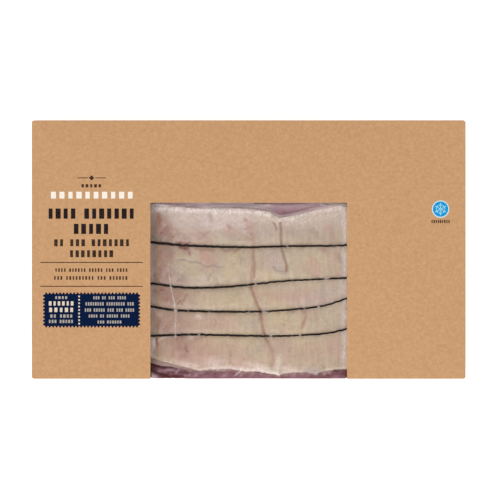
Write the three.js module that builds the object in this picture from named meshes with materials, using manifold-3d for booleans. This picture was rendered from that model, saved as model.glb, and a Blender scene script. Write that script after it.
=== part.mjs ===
// A tied beef sirloin joint, vacuum packed, lying in a card carton with a cut-out window.
// Millimetres. +X runs along the carton's long side, +Y to its back, +Z up through its lid panel.
// The origin is the middle of the underside.
import * as THREE from 'three';
import { RoundedBoxGeometry } from 'three/addons/geometries/RoundedBoxGeometry.js';
import { mergeVertices } from 'three/addons/utils/BufferGeometryUtils.js';
import Module from 'manifold-3d';

// Clearance between pieces that touch, and under the fat's side edges, where the lean turns sharply
const GAP = 0.3;
const EDGE_GAP = 0.9;
// Where rows of points run beside each string, so that its groove is in both solids
const BESIDE_STRING = [-2.8, -1, 0, 1, 2.8];

// The carton: outer size, board thickness and the roundness of its creases
const CARTON = { width: 300, depth: 178.8, height: 76, board: 0.8, crease: 0.8, creaseSteps: 2 };
// The window runs from its far edge over the front crease and down the front wall to its sill
const WINDOW = { halfWidth: 68, farEdge: 32.4, sill: 26 };
// The glued end flap hangs from the lid panel and is a little narrower than the end
const END_FLAP = { drop: 50, sideInset: 1.4, foldRise: 1.6 };

// The joint: a broad loaf with a flat underside, fuller on its right, its loin axis along Y
const JOINT = {
  halfWidth: { left: 84, right: 89 },
  squareness: { left: 3.4, right: 5.5 },
  rise: 35.4,
  fall: 40,
  centreZ: CARTON.board + GAP + 36,
  nearFace: -CARTON.depth / 2 + CARTON.board + GAP,
  farFace: 43,
  faceSquareness: { near: 5, far: 3.2 },
  leftFall: 2.2,
};
// Uneven swelling of the meat: size, waves round a section, and the length in Y over which they change
const SWELL = {
  slow: { size: 0.8, waves: 2, phase: 0.4, length: 31, shift: 1 },
  fast: { size: 0.4, waves: 5, phase: 1.3, length: 17, shift: Math.PI / 2 },
};
// Steps round a cross-section: over the top from right to left, and back underneath
const TOP_STEPS = 32;
const UNDER_STEPS = 10;
const FACE_STEPS = 5;

// The fat cap covers the top between these steps, counted from the right-hand side
const FAT = { firstStep: 3, lastStep: TOP_STEPS - 3, edgeRound: 5.5, leanOverlap: 3 };
// Towards its far edge the fat thins to this share, and the lean rises under it
const FAT_TAPER = { reach: 14, middle: 9.5, least: 0.32 };
// Thickness of the fat from left to right, as [x, thickness]
const fatThickness = through([[-84, 2.4], [-62, 4.6], [-30, 8.5], [0, 11], [35, 11], [62, 8.5], [84, 5]]);
// The fat's two long edges on the cut faces, as [x, y]
const fatNearEdge = through([
  [-84, -72], [-67.6, -74.8], [-51, -79.7], [-34.4, -84.2], [-13, -82.8], [5, -85],
  [20.9, -87], [41.3, -85.2], [60.7, -83.1], [84, -82],
]);
const fatFarEdge = through([
  [-84, 34], [-67, 31.5], [-51, 29.6], [-22.8, 29], [7.3, 27.6], [15, 26.2], [20.5, 22.4],
  [27.7, 22.6], [46.1, 27.6], [57, 29.3], [84, 31],
]);

// Four loops of butcher's string. Each route over the top is [x, y], from left to right
const STRING = { radius: 0.7, sides: 6, press: 1.5, pressWidth: 1.5, waist: 1.3, waistWidth: 8 };
const STRING_ROUTES = [
  [
    [-84, -60], [-66, -59.6], [-40, -58.9], [-20, -59.3], [0, -59.7], [20, -59.9],
    [40, -59.2], [58, -57.8], [68, -55.6], [84, -50.6],
  ],
  [
    [-84, -36.5], [-66, -40.2], [-58, -41.6], [-50, -42.3], [-30, -42.8], [-10, -43.1], [10, -42.9],
    [20, -42.5], [40, -40.8], [50, -39.6], [58, -38], [66, -35.4], [84, -28.5],
  ],
  [
    [-84, -21.5], [-66, -24.1], [-50, -26.1], [-40, -26.5], [-20, -26], [0, -24.4],
    [20, -22.4], [30, -21.6], [50, -20.6], [66, -19.8], [84, -19],
  ],
  [[-84, 6.6], [-66, 4.6], [-50, 3], [-20, 1.8], [0, 1.6], [20, 2.1], [40, 2.5], [58, 2.6], [84, 3.6]],
];

// The sealed end of the vacuum bag leaves the joint's side and sinks to the carton's floor
const BAG_MARGIN = { beside: 2.2, startZ: 25, slope: 17.8, reach: 139, halfDepth: 53, centreY: -22, film: 1 };

// A smooth height through [position, height] knots, flat beyond the first and the last
function through(knots) {
  const last = knots.length - 1;
  const slopes = knots.map((knot, i) => {
    const before = knots[Math.max(i - 1, 0)];
    const after = knots[Math.min(i + 1, last)];
    return (after[1] - before[1]) / (after[0] - before[0]);
  });
  return (position) => {
    let i = 0;
    while (i < last - 1 && position > knots[i + 1][0]) {
      i += 1;
    }
    const span = knots[i + 1][0] - knots[i][0];
    const t = THREE.MathUtils.clamp((position - knots[i][0]) / span, 0, 1);
    const ease = t * t * (3 - 2 * t);
    const leave = t * (1 - t) * (1 - t) * span * slopes[i];
    const arrive = t * t * (1 - t) * span * slopes[i + 1];
    return knots[i][1] + ease * (knots[i + 1][1] - knots[i][1]) + leave - arrive;
  };
}

// The directions of one cross-section's corners, seen from the middle of the joint
function sectionDirections() {
  const directions = [];
  const steps = TOP_STEPS + UNDER_STEPS;
  for (let step = 0; step < steps; step += 1) {
    const over = Math.min(step, TOP_STEPS) / TOP_STEPS;
    const under = Math.max(step - TOP_STEPS, 0) / UNDER_STEPS;
    const turn = Math.PI * (over + under);
    const side = Math.cos(turn) < 0 ? 'left' : 'right';
    const halfWidth = JOINT.halfWidth[side];
    const power = JOINT.squareness[side];
    const reach = new THREE.Vector2(halfWidth * Math.cos(turn), JOINT.rise * Math.sin(turn));
    const half = reach.y >= 0 ? JOINT.rise : JOINT.fall;
    reach.normalize();
    const sum = Math.abs(reach.x / halfWidth) ** power + Math.abs(reach.y / half) ** power;
    const radius = sum ** (-1 / power);
    directions.push({ step, turn, cos: reach.x, sin: reach.y, radius, x: radius * reach.x });
  }
  return directions;
}

const directions = sectionDirections();
const rightSide = directions[0];
const leftSide = directions[TOP_STEPS];

// A line across the joint: its own route over the top, and straight back underneath
function lineAcross(route) {
  return (direction) => {
    if (direction.step <= TOP_STEPS) {
      return route(direction.x);
    }
    const share = (direction.x - leftSide.x) / (rightSide.x - leftSide.x);
    return THREE.MathUtils.lerp(route(leftSide.x), route(rightSide.x), share);
  };
}

const stringLines = STRING_ROUTES.map((knots) => lineAcross(through(knots)));
const nearLine = lineAcross(fatNearEdge);
const farLine = lineAcross(fatFarEdge);

// How far one string presses in, and how far it draws the joint in around it
function stringPress(direction, y) {
  let sharp = 0;
  let waist = 0;
  for (const line of stringLines) {
    const away = y - line(direction);
    sharp += STRING.press * Math.exp(-((away / STRING.pressWidth) ** 2));
    waist += STRING.waist * Math.exp(-((away / STRING.waistWidth) ** 2));
  }
  return { sharp, waist };
}

// The joint's outer surface, before the strings press into it
function outerRadius(direction, y) {
  const { turn, cos, sin, radius } = direction;
  const swell = Object.values(SWELL).reduce((sum, { size, waves, phase, length, shift }) => (
    sum + size * Math.sin(waves * turn + phase) * Math.sin(y / length + shift)
  ), 0);
  const shoulder = JOINT.leftFall * THREE.MathUtils.smoothstep(-cos, 0.35, 1) * (1 - Math.abs(sin));
  return radius + swell - shoulder;
}

function underFat(direction) {
  return direction.step > FAT.firstStep && direction.step < FAT.lastStep;
}

function atFatEdge(direction) {
  return direction.step === FAT.firstStep || direction.step === FAT.lastStep;
}

function fatAt(direction, y) {
  if (!underFat(direction)) {
    return 0;
  }
  const toFarEdge = THREE.MathUtils.smoothstep(farLine(direction) - y, 0, FAT_TAPER.reach);
  return fatThickness(direction.x) * THREE.MathUtils.lerp(FAT_TAPER.least, 1, toFarEdge);
}

// The room left between the lean and the fat over it
function gapAt(direction) {
  if (atFatEdge(direction)) {
    return EDGE_GAP;
  }
  return underFat(direction) ? GAP : 0;
}

// The lean's surface. Under the fat it is smooth, elsewhere the strings press into it
function leanRadius(direction, y) {
  const { sharp, waist } = stringPress(direction, y);
  const pressed = underFat(direction) ? 0 : sharp + waist;
  const bare = outerRadius(direction, y) - fatAt(direction, y) - gapAt(direction) - pressed;
  if (direction.sin >= 0) {
    return bare;
  }
  const flatBelow = JOINT.centreZ - CARTON.board - GAP - sharp;
  return Math.min(bare, flatBelow / -direction.sin);
}

// The fat's surface, rounded down to its near and far edges
function fatRadius(direction, y) {
  const inward = Math.min(y - nearLine(direction), farLine(direction) - y);
  const share = THREE.MathUtils.clamp(inward / FAT.edgeRound, 0, 1);
  const thickness = fatAt(direction, y) * Math.sqrt(1 - (1 - share) ** 2);
  const { sharp, waist } = stringPress(direction, y);
  return leanRadius(direction, y) + gapAt(direction) + thickness - Math.min(sharp + waist, 0.6 * thickness);
}

// What a string lies on: the fat where it covers the lean, and the lean elsewhere
function bedRadius(direction, y) {
  const onFat = underFat(direction) || atFatEdge(direction);
  return onFat ? fatRadius(direction, y) : leanRadius(direction, y);
}

function onSection(direction, radius, y, scale = 1) {
  const across = scale * radius * direction.cos;
  const up = JOINT.centreZ + scale * radius * direction.sin;
  return new THREE.Vector3(across, y, up);
}

// Lines across the joint beside each string, with more lines spread evenly between them
function stationLines(first, last, between) {
  const lines = [...first];
  for (const line of stringLines) {
    addBetween(lines, (direction) => line(direction) + BESIDE_STRING[0], between);
    for (const offset of BESIDE_STRING) {
      lines.push((direction) => line(direction) + offset);
    }
  }
  addBetween(lines, last[0], between);
  return [...lines, ...last];
}

function addBetween(lines, next, count) {
  const before = lines[lines.length - 1];
  for (let i = 1; i <= count; i += 1) {
    lines.push((direction) => THREE.MathUtils.lerp(before(direction), next(direction), i / (count + 1)));
  }
}

// Lines at the given distances inside the fat's far edge, after the two that its taper needs
function farRows(insets) {
  const all = [FAT_TAPER.reach, FAT_TAPER.middle, ...insets];
  return all.map((inset) => (direction) => farLine(direction) - inset);
}

function geometryFrom(points, faces) {
  const geometry = new THREE.BufferGeometry();
  geometry.setAttribute('position', new THREE.Float32BufferAttribute(points.flatMap((p) => p.toArray()), 3));
  geometry.setIndex(faces.flat());
  geometry.computeVertexNormals();
  return geometry;
}

// Two triangles for the square between two neighbouring rows
function square(faces, a, b, c, d) {
  faces.push([a, b, c], [a, c, d]);
}

// Closed rings one after another, each shut at the ends by a pole
function ringsGeometry(rings, firstPole, lastPole) {
  const around = rings[0].length;
  const points = [...rings.flat(), firstPole, lastPole];
  const poles = { first: points.length - 2, last: points.length - 1 };
  const faces = [];
  for (let i = 0; i < around; i += 1) {
    const next = (i + 1) % around;
    for (let row = 0; row < rings.length - 1; row += 1) {
      const here = row * around;
      const there = here + around;
      square(faces, here + i, there + i, there + next, here + next);
    }
    const end = (rings.length - 1) * around;
    faces.push([poles.first, i, next], [poles.last, end + next, end + i]);
  }
  return geometryFrom(points, faces);
}

// Two grids of points, an outer and an inner one, that share their border
function slabGeometry(outer, inner) {
  const rows = outer.length;
  const columns = outer[0].length;
  const points = outer.flat();
  const innerIndex = [];
  for (let row = 0; row < rows; row += 1) {
    for (let column = 0; column < columns; column += 1) {
      const border = row % (rows - 1) === 0 || column % (columns - 1) === 0;
      innerIndex.push(border ? row * columns + column : points.length);
      if (!border) {
        points.push(inner[row][column]);
      }
    }
  }
  const faces = [];
  for (let row = 0; row < rows - 1; row += 1) {
    for (let column = 0; column < columns - 1; column += 1) {
      const a = row * columns + column;
      const corners = [a, a + columns, a + columns + 1, a + 1];
      square(faces, ...corners);
      const [start, below, across, beside] = corners.map((corner) => innerIndex[corner]);
      square(faces, start, beside, across, below);
    }
  }
  return geometryFrom(points, faces);
}

// The lean meat: rings along the loin, with a bulging cut face at either end
function leanGeometry() {
  const shoulderNear = (direction) => nearLine(direction) + FAT.leanOverlap;
  const taper = farRows([FAT.edgeRound, FAT.leanOverlap]);
  const shoulderFar = taper[taper.length - 1];
  const lines = stationLines([shoulderNear], taper, 1);
  const rings = lines.map((line) => directions.map((direction) => {
    const y = line(direction);
    return onSection(direction, leanRadius(direction, y), y);
  }));
  const near = faceRings(shoulderNear, JOINT.nearFace, JOINT.faceSquareness.near);
  const far = faceRings(shoulderFar, JOINT.farFace, JOINT.faceSquareness.far);
  const all = [...near.reverse(), ...rings, ...far];
  const nearPole = new THREE.Vector3(0, JOINT.nearFace, JOINT.centreZ);
  const farPole = new THREE.Vector3(0, JOINT.farFace, JOINT.centreZ);
  return ringsGeometry(all, nearPole, farPole);
}

// Shrinking rings that round a cut face over, from its shoulder out to its middle
function faceRings(shoulder, faceY, squareness) {
  const rings = [];
  for (let step = 1; step < FACE_STEPS; step += 1) {
    const angle = (Math.PI / 2) * (step / FACE_STEPS);
    const out = Math.sin(angle) ** (2 / squareness);
    const scale = Math.cos(angle) ** (2 / squareness);
    rings.push(directions.map((direction) => {
      const start = shoulder(direction);
      return onSection(direction, leanRadius(direction, start), THREE.MathUtils.lerp(start, faceY, out), scale);
    }));
  }
  return rings;
}

// The fat cap: a slab over the lean's top, pressed in by the strings and rounded at its edges
function fatGeometry() {
  const edge = [FAT.edgeRound, FAT.leanOverlap, 1, 0];
  const first = edge.map((inset) => (direction) => nearLine(direction) + inset).reverse();
  const last = farRows(edge);
  const lines = stationLines(first, last, 2);
  const covered = directions.slice(FAT.firstStep, FAT.lastStep + 1);
  const outer = lines.map((line) => covered.map((direction) => {
    const y = line(direction);
    return onSection(direction, fatRadius(direction, y), y);
  }));
  const inner = lines.map((line) => covered.map((direction) => {
    const y = line(direction);
    return onSection(direction, leanRadius(direction, y) + gapAt(direction), y);
  }));
  return slabGeometry(outer, inner);
}

// A string's middle line: its own radius and a gap out from what it lies on
function stringRoute(line) {
  const bed = directions.map((direction) => {
    const y = line(direction);
    return onSection(direction, bedRadius(direction, y), y);
  });
  return bed.map((point, i) => {
    const before = bed[(i + bed.length - 1) % bed.length];
    const after = bed[(i + 1) % bed.length];
    const arriving = point.clone().sub(before).normalize();
    const leaving = after.clone().sub(point).normalize();
    const along = arriving.clone().add(leaving).normalize();
    const outward = new THREE.Vector3(0, 1, 0).cross(along).normalize();
    const stretch = 1 / along.dot(leaving);
    const centre = point.clone().addScaledVector(outward, (GAP + STRING.radius) * stretch);
    return { centre, along, outward };
  });
}

// A closed loop of string with a many-sided section
function stringGeometry(line) {
  const route = stringRoute(line);
  const points = [];
  for (const { centre, along, outward } of route) {
    const sideways = new THREE.Vector3().crossVectors(along, outward);
    for (let side = 0; side < STRING.sides; side += 1) {
      const angle = (2 * Math.PI * side) / STRING.sides;
      const point = centre.clone();
      point.addScaledVector(outward, STRING.radius * Math.cos(angle));
      point.addScaledVector(sideways, STRING.radius * Math.sin(angle));
      points.push(point);
    }
  }
  const faces = [];
  for (let i = 0; i < route.length; i += 1) {
    const here = i * STRING.sides;
    const there = ((i + 1) % route.length) * STRING.sides;
    for (let side = 0; side < STRING.sides; side += 1) {
      const next = (side + 1) % STRING.sides;
      square(faces, here + side, here + next, there + next, there + side);
    }
  }
  return geometryFrom(points, faces);
}

// One sealed end of the bag, in outline as the front sees it, run through the joint's depth
function bagMarginGeometry(side) {
  const { beside, startZ, slope, reach, film, halfDepth, centreY } = BAG_MARGIN;
  const start = JOINT.halfWidth[side < 0 ? 'left' : 'right'] + beside;
  const foot = start + slope;
  const lowZ = CARTON.board + GAP;
  const drape = new THREE.CubicBezierCurve(
    new THREE.Vector2(start, startZ),
    new THREE.Vector2(start + 7, startZ - 2),
    new THREE.Vector2(foot - 12, lowZ + film / 2),
    new THREE.Vector2(foot, lowZ + film / 2),
  );
  const middle = [...drape.getPoints(12), new THREE.Vector2(reach, lowZ + film / 2)];
  const normals = middle.map((point, i) => {
    const before = middle[Math.max(i - 1, 0)];
    const after = middle[Math.min(i + 1, middle.length - 1)];
    const run = after.clone().sub(before).normalize();
    return new THREE.Vector2(-run.y, run.x);
  });
  const upper = middle.map((point, i) => point.clone().addScaledVector(normals[i], film / 2));
  const lower = middle.map((point, i) => point.clone().addScaledVector(normals[i], -film / 2));
  const outline = [...lower, ...upper.reverse()].map((point) => new THREE.Vector2(side * point.x, point.y));
  const shape = new THREE.Shape(side > 0 ? outline : outline.reverse());
  const geometry = new THREE.ExtrudeGeometry(shape, { depth: 2 * halfDepth, bevelEnabled: false });
  geometry.rotateX(Math.PI / 2);
  geometry.translate(0, centreY + halfDepth, 0);
  return geometry;
}

const wasm = await Module();
wasm.setup();

// A closed three.js geometry as a solid that can be joined and cut
function solid(geometry) {
  const bare = geometry.clone();
  bare.deleteAttribute('normal');
  bare.deleteAttribute('uv');
  const merged = mergeVertices(bare, 1e-4);
  const vertProperties = Float32Array.from(merged.attributes.position.array);
  const triVerts = Uint32Array.from(merged.index.array);
  return new wasm.Manifold(new wasm.Mesh({ numProp: 3, vertProperties, triVerts }));
}

function geometryOf(manifold) {
  const mesh = manifold.getMesh();
  const geometry = new THREE.BufferGeometry();
  geometry.setAttribute('position', new THREE.Float32BufferAttribute(mesh.vertProperties, mesh.numProp));
  geometry.setIndex([...mesh.triVerts]);
  geometry.computeVertexNormals();
  return geometry;
}

// A block between two corners
function block(low, high) {
  const size = high.map((value, i) => value - low[i]);
  const geometry = new THREE.BoxGeometry(...size);
  geometry.translate(...low.map((value, i) => value + size[i] / 2));
  return solid(geometry);
}

// The folded carton: walls of one board, double at the glued ends, cut open at the window
function cartonGeometry() {
  const { width, depth, height, board, crease, creaseSteps } = CARTON;
  const side = width / 2;
  const wall = depth / 2;
  const beyond = 5;
  const outside = new RoundedBoxGeometry(width, depth, height, creaseSteps, crease);
  outside.translate(0, 0, height / 2);
  const hollow = block(
    [-side + 2 * board, -wall + board, board],
    [side - 2 * board, wall - board, height - board],
  );
  const cutOut = block(
    [-WINDOW.halfWidth, -wall - beyond, WINDOW.sill],
    [WINDOW.halfWidth, WINDOW.farEdge, height + beyond],
  );
  let carton = solid(outside).subtract(hollow).subtract(cutOut);
  for (const end of [-1, 1]) {
    const layer = [end * (side - board), end * (side + beyond)].sort((a, b) => a - b);
    const flapFoot = height - END_FLAP.drop;
    const below = block([layer[0], -wall - beyond, -beyond], [layer[1], wall + beyond, flapFoot]);
    carton = carton.subtract(below);
    for (const edge of [-1, 1]) {
      const strip = [edge * (wall - END_FLAP.sideInset), edge * (wall + beyond)].sort((a, b) => a - b);
      const beside = block(
        [layer[0], strip[0], flapFoot - beyond],
        [layer[1], strip[1], height - END_FLAP.foldRise],
      );
      carton = carton.subtract(beside);
    }
  }
  return geometryOf(carton);
}

const FINISHES = {
  card: new THREE.MeshStandardMaterial({ color: '#c89b71', roughness: 0.9, metalness: 0 }),
  lean: new THREE.MeshStandardMaterial({ color: '#835f62', roughness: 0.45, metalness: 0 }),
  fat: new THREE.MeshStandardMaterial({ color: '#bfa994', roughness: 0.5, metalness: 0 }),
  string: new THREE.MeshStandardMaterial({ color: '#1c1614', roughness: 0.85, metalness: 0 }),
  film: new THREE.MeshStandardMaterial({ color: '#d5d8dc', roughness: 0.2, metalness: 0 }),
};

const group = new THREE.Group();

function add(name, geometry, finish) {
  const mesh = new THREE.Mesh(geometry, FINISHES[finish]);
  mesh.name = name;
  group.add(mesh);
}

add('card_carton', cartonGeometry(), 'card');
add('lean_meat', leanGeometry(), 'lean');
add('fat_cap', fatGeometry(), 'fat');
stringLines.forEach((line, i) => add(`string_${i + 1}`, stringGeometry(line), 'string'));
add('bag_margin_left', bagMarginGeometry(-1), 'film');
add('bag_margin_right', bagMarginGeometry(1), 'film');

export default group;
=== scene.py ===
"""A tied beef sirloin joint, vacuum packed, in a windowed kraft carton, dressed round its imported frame.

Blender works in metres. Sizes here are named in millimetres and turned by MM.
+X runs along the carton's long side, +Y to its back, +Z up through its lid.
"""

import logging
import math
from collections.abc import Callable, Iterator
from contextlib import contextmanager
from dataclasses import dataclass
from enum import Enum

import bmesh
import bpy
import numpy as np
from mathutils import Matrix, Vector
from mathutils.bvhtree import BVHTree

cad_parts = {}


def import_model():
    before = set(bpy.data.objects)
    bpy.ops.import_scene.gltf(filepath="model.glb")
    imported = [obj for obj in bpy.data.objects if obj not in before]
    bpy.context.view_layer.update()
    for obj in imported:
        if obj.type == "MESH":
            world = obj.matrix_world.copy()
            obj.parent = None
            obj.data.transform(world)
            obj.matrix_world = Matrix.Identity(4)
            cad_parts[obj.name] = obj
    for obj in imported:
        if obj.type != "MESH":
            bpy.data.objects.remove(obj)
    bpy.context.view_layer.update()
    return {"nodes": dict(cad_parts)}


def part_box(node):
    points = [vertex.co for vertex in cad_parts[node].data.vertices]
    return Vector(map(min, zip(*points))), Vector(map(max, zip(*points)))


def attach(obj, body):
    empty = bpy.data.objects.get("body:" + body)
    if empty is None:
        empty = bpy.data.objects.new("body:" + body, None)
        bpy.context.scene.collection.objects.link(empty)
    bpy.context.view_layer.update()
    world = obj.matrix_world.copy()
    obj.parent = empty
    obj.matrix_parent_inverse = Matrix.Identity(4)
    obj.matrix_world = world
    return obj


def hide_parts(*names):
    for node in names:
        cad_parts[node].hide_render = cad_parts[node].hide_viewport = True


MM = 0.001
BODY = "root"
log = logging.getLogger("joint_in_carton")

Point = tuple[float, float]
Rows = tuple[tuple[float, ...], ...]
Lumps = tuple[tuple[float, float, int], ...]
Colour = tuple[float, float, float, float]
Feeds = dict[str | int, object]

# The inputs that the rows of a material's tables fill, in this order
NOISE = ("Vector", "Scale", "Detail", "Roughness", "Distortion")
RANGE = ("Value", "From Min", "From Max", "To Min", "To Max")


class Part(Enum):
    """The parts of a mesh that can be chosen in edit mode."""

    VERT = "verts"
    EDGE = "edges"
    FACE = "faces"


def linear(colour: str) -> Colour:
    """Turns an sRGB hex value into linear red, green, blue and alpha.

    Args:
        colour: Six hex digits after a hash mark.

    Returns:
        The four linear values.
    """
    channels = [int(colour[i:i + 2], 16) / 255 for i in (1, 3, 5)]
    bent = [c / 12.92 if c <= 0.04045 else ((c + 0.055) / 1.055) ** 2.4 for c in channels]
    return bent[0], bent[1], bent[2], 1.0


def feed(node: bpy.types.Node, feeds: Feeds) -> None:
    """Sets or links a node's inputs.

    Args:
        node: The node.
        feeds: A value or an output to link, for each input's name or number.
    """
    for name, value in feeds.items():
        if isinstance(value, bpy.types.NodeSocket):
            node.id_data.links.new(value, node.inputs[name])
        else:
            node.inputs[name].default_value = value


def add_node(tree: bpy.types.NodeTree, kind: str, feeds: Feeds, output: str | int = 0,
             **settings: object) -> bpy.types.NodeSocket:
    """Adds a node with its settings, and sets or links its inputs.

    Args:
        tree: The node tree that takes it.
        kind: Blender's name for the kind of node, after the words that all share.
        feeds: A value or an output to link, for each input's name or number.
        output: The name or number of the output that is wanted.
        settings: The node's own properties.

    Returns:
        The wanted output.
    """
    node = tree.nodes.new(f"ShaderNode{kind}")
    for name, value in settings.items():
        setattr(node, name, value)
    feed(node, feeds)
    return node.outputs[output]


def add_nodes(tree: bpy.types.NodeTree, kind: str, inputs: tuple[str, ...],
              rows: tuple[tuple[object, ...], ...]) -> list[bpy.types.NodeSocket]:
    """Adds several nodes of one kind from a table.

    Args:
        tree: The node tree that takes them.
        kind: Blender's name for the kind of node, after the words that all share.
        inputs: The inputs that each row fills, in order.
        rows: A row for each node. A short row leaves the last inputs as they are.

    Returns:
        The first output of each.
    """
    return [add_node(tree, kind, dict(zip(inputs, row))) for row in rows]


def spacing(size: float) -> float:
    """Gives the scale of a noise with patches of that many millimetres."""
    return 1 / (size * MM)


def new_material(name: str) -> tuple[bpy.types.Material, bpy.types.NodeTree, bpy.types.Node]:
    """Starts a material.

    Args:
        name: The finish that it stands for.

    Returns:
        The material, its node tree and its surface shader.
    """
    material = bpy.data.materials.new(name)
    material.use_nodes = True
    tree = material.node_tree
    return material, tree, tree.nodes["Principled BSDF"]


def pick_only(piece: bpy.types.Object) -> None:
    """Makes one object the only selected and active one.

    Args:
        piece: The object.
    """
    bpy.ops.object.select_all(action="DESELECT")
    piece.select_set(True)
    bpy.context.view_layer.objects.active = piece


def start_from(primitive: Callable[..., object], **settings: object) -> bpy.types.Object:
    """Adds a primitive to start a piece from.

    Args:
        primitive: The operator that adds it.
        settings: Its size and place.

    Returns:
        The new object, the only selected one.
    """
    bpy.ops.object.select_all(action="DESELECT")
    primitive(**settings)
    return bpy.context.active_object


def smooth(piece: bpy.types.Object) -> None:
    """Shades a piece smoothly all over."""
    pick_only(piece)
    bpy.ops.object.shade_smooth()


def shape_with(piece: bpy.types.Object, kind: str, **settings: object) -> None:
    """Adds a modifier with its settings and applies it.

    Args:
        piece: The object that it shapes.
        kind: Blender's name for the kind of modifier.
        settings: The modifier's own properties.
    """
    pick_only(piece)
    modifier = piece.modifiers.new(kind.title(), kind)
    for name, value in settings.items():
        setattr(modifier, name, value)
    bpy.ops.object.modifier_apply(modifier=modifier.name)


@contextmanager
def editing(piece: bpy.types.Object) -> Iterator[None]:
    """Holds a piece in edit mode.

    Args:
        piece: The piece.

    Yields:
        Nothing.
    """
    pick_only(piece)
    bpy.ops.object.mode_set(mode="EDIT")
    yield
    bpy.ops.object.mode_set(mode="OBJECT")


def choose(piece: bpy.types.Object, part: Part, passes: Callable[[object], bool]) -> None:
    """Selects, in edit mode, just the parts of a mesh that pass a test.

    Args:
        piece: The object in edit mode.
        part: Which parts are tested.
        passes: The test, by place or normal.
    """
    bpy.ops.mesh.select_mode(type=part.name)
    bpy.ops.mesh.select_all(action="DESELECT")
    mesh = bmesh.from_edit_mesh(piece.data)
    for element in getattr(mesh, part.value):
        if passes(element):
            element.select_set(True)
    mesh.select_flush_mode()
    bmesh.update_edit_mesh(piece.data)


def cut(piece: bpy.types.Object, passes: Callable[[object], bool], place: Vector, across: Vector) -> None:
    """Cuts the chosen faces along a plane, in edit mode.

    Args:
        piece: The object in edit mode.
        passes: Says which faces are cut.
        place: A point on the plane.
        across: The plane's normal.
    """
    choose(piece, Part.FACE, passes)
    bpy.ops.mesh.bisect(plane_co=place, plane_no=across)


def finish_piece(piece: bpy.types.Object, name: str, material: bpy.types.Material) -> None:
    """Names and dresses a finished piece and fixes it to the body.

    Args:
        piece: The finished object.
        name: Its name in the scene.
        material: What it is made of.
    """
    piece.name = name
    piece.data.name = name
    if not piece.data.materials:
        piece.data.materials.append(material)
    pick_only(piece)
    bpy.ops.object.transform_apply(location=True, rotation=True, scale=True)
    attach(piece, BODY)
    log.info("%s: %d faces", name, len(piece.data.polygons))


def copy_of(source: bpy.types.Object) -> bpy.types.Object:
    """Copies a mesh object with a mesh of its own.

    Args:
        source: The object to copy.

    Returns:
        The copy, which rides on nothing yet.
    """
    twin = source.copy()
    twin.data = source.data.copy()
    twin.parent = None
    for key in list(twin.keys()):
        del twin[key]
    bpy.context.scene.collection.objects.link(twin)
    return twin


def closed_copy(source: bpy.types.Object) -> bpy.types.Object:
    """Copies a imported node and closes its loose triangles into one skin.

    Args:
        source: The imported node.

    Returns:
        The copy, with its points merged and its triangles paired.
    """
    twin = copy_of(source)
    twin.data.materials.clear()
    with editing(twin):
        bpy.ops.mesh.select_all(action="SELECT")
        bpy.ops.mesh.remove_doubles(threshold=0.002 * MM)
        bpy.ops.mesh.tris_convert_to_quads()
    return twin


def points_of(piece: bpy.types.Object) -> np.ndarray:
    """Gives a mesh's points.

    Args:
        piece: The mesh object.

    Returns:
        Their places in millimetres, one to a row.
    """
    flat = np.empty(3 * len(piece.data.vertices))
    piece.data.vertices.foreach_get("co", flat)
    return flat.reshape(-1, 3) / MM


def normals_of(piece: bpy.types.Object) -> np.ndarray:
    """Gives the outward direction at each of a mesh's points.

    Args:
        piece: The mesh object.

    Returns:
        Directions of length 1, one to a row.
    """
    flat = np.empty(3 * len(piece.data.vertices))
    piece.data.vertex_normals.foreach_get("vector", flat)
    return flat.reshape(-1, 3)


def put_points(piece: bpy.types.Object, points: np.ndarray) -> None:
    """Moves a mesh's points to places in millimetres."""
    piece.data.vertices.foreach_set("co", (points * MM).ravel())
    piece.data.update()


def store(piece: bpy.types.Object, name: str, values: np.ndarray) -> None:
    """Keeps one number for each point of a mesh, which its material reads."""
    layer = piece.data.attributes.new(name, "FLOAT", "POINT")
    layer.data.foreach_set("value", values.astype(np.float32))


def waves(points: np.ndarray, length: float, seed: int) -> np.ndarray:
    """Gives a smooth uneven field over points.

    Args:
        points: Places in millimetres, one to a row.
        length: The usual distance from crest to crest, in millimetres.
        seed: Which field.

    Returns:
        A value for each point, mostly between -1 and 1.
    """
    draw = np.random.default_rng(seed)
    total = np.zeros(len(points))
    trains = 7
    for _ in range(trains):
        heading = draw.normal(size=points.shape[1])
        heading /= np.linalg.norm(heading)
        reach = length * draw.uniform(0.6, 1.6)
        total += np.sin(2 * math.pi * (points @ heading) / reach + draw.uniform(0, 2 * math.pi))
    return total / math.sqrt(2 * trains)


def lumpy(points: np.ndarray, lumps: Lumps) -> np.ndarray:
    """Adds up uneven fields, each given by its height, its length and which field it is."""
    return sum(height * waves(points, length, seed) for height, length, seed in lumps)


def ramp(values: np.ndarray, low: float, high: float) -> np.ndarray:
    """Rises smoothly from 0 at low to 1 at high."""
    share = np.clip((values - low) / (high - low), 0, 1)
    return share * share * (3 - 2 * share)


class Mark(Enum):
    """What a stroke on the meat or its film is."""

    CREASE = "crease"
    VEIN = "vein"
    BLOOD = "blood"
    # Stains, and painted shade where the fat turns away from the light
    BRUISE = "bruise"
    ROSE = "rose"
    # Painted sheen, highlights and light against shade
    PALE = "pale"
    BUTTER = "butter"
    # Painted sheen of the film, and painted light in shaded places
    LILAC = "lilac"
    # Painted highlights, and painted light where the lid shades the meat
    WHITE = "white"
    # Folds pressed in and darkened with painted shade
    FOLD = "fold"
    SKIN = "skin"
    # Film folds raised and painted milky white as highlights
    RIDGE = "ridge"
    # Painted sheen where the film stands off its contents
    VEIL = "veil"
    CROSS = "cross"


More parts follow.
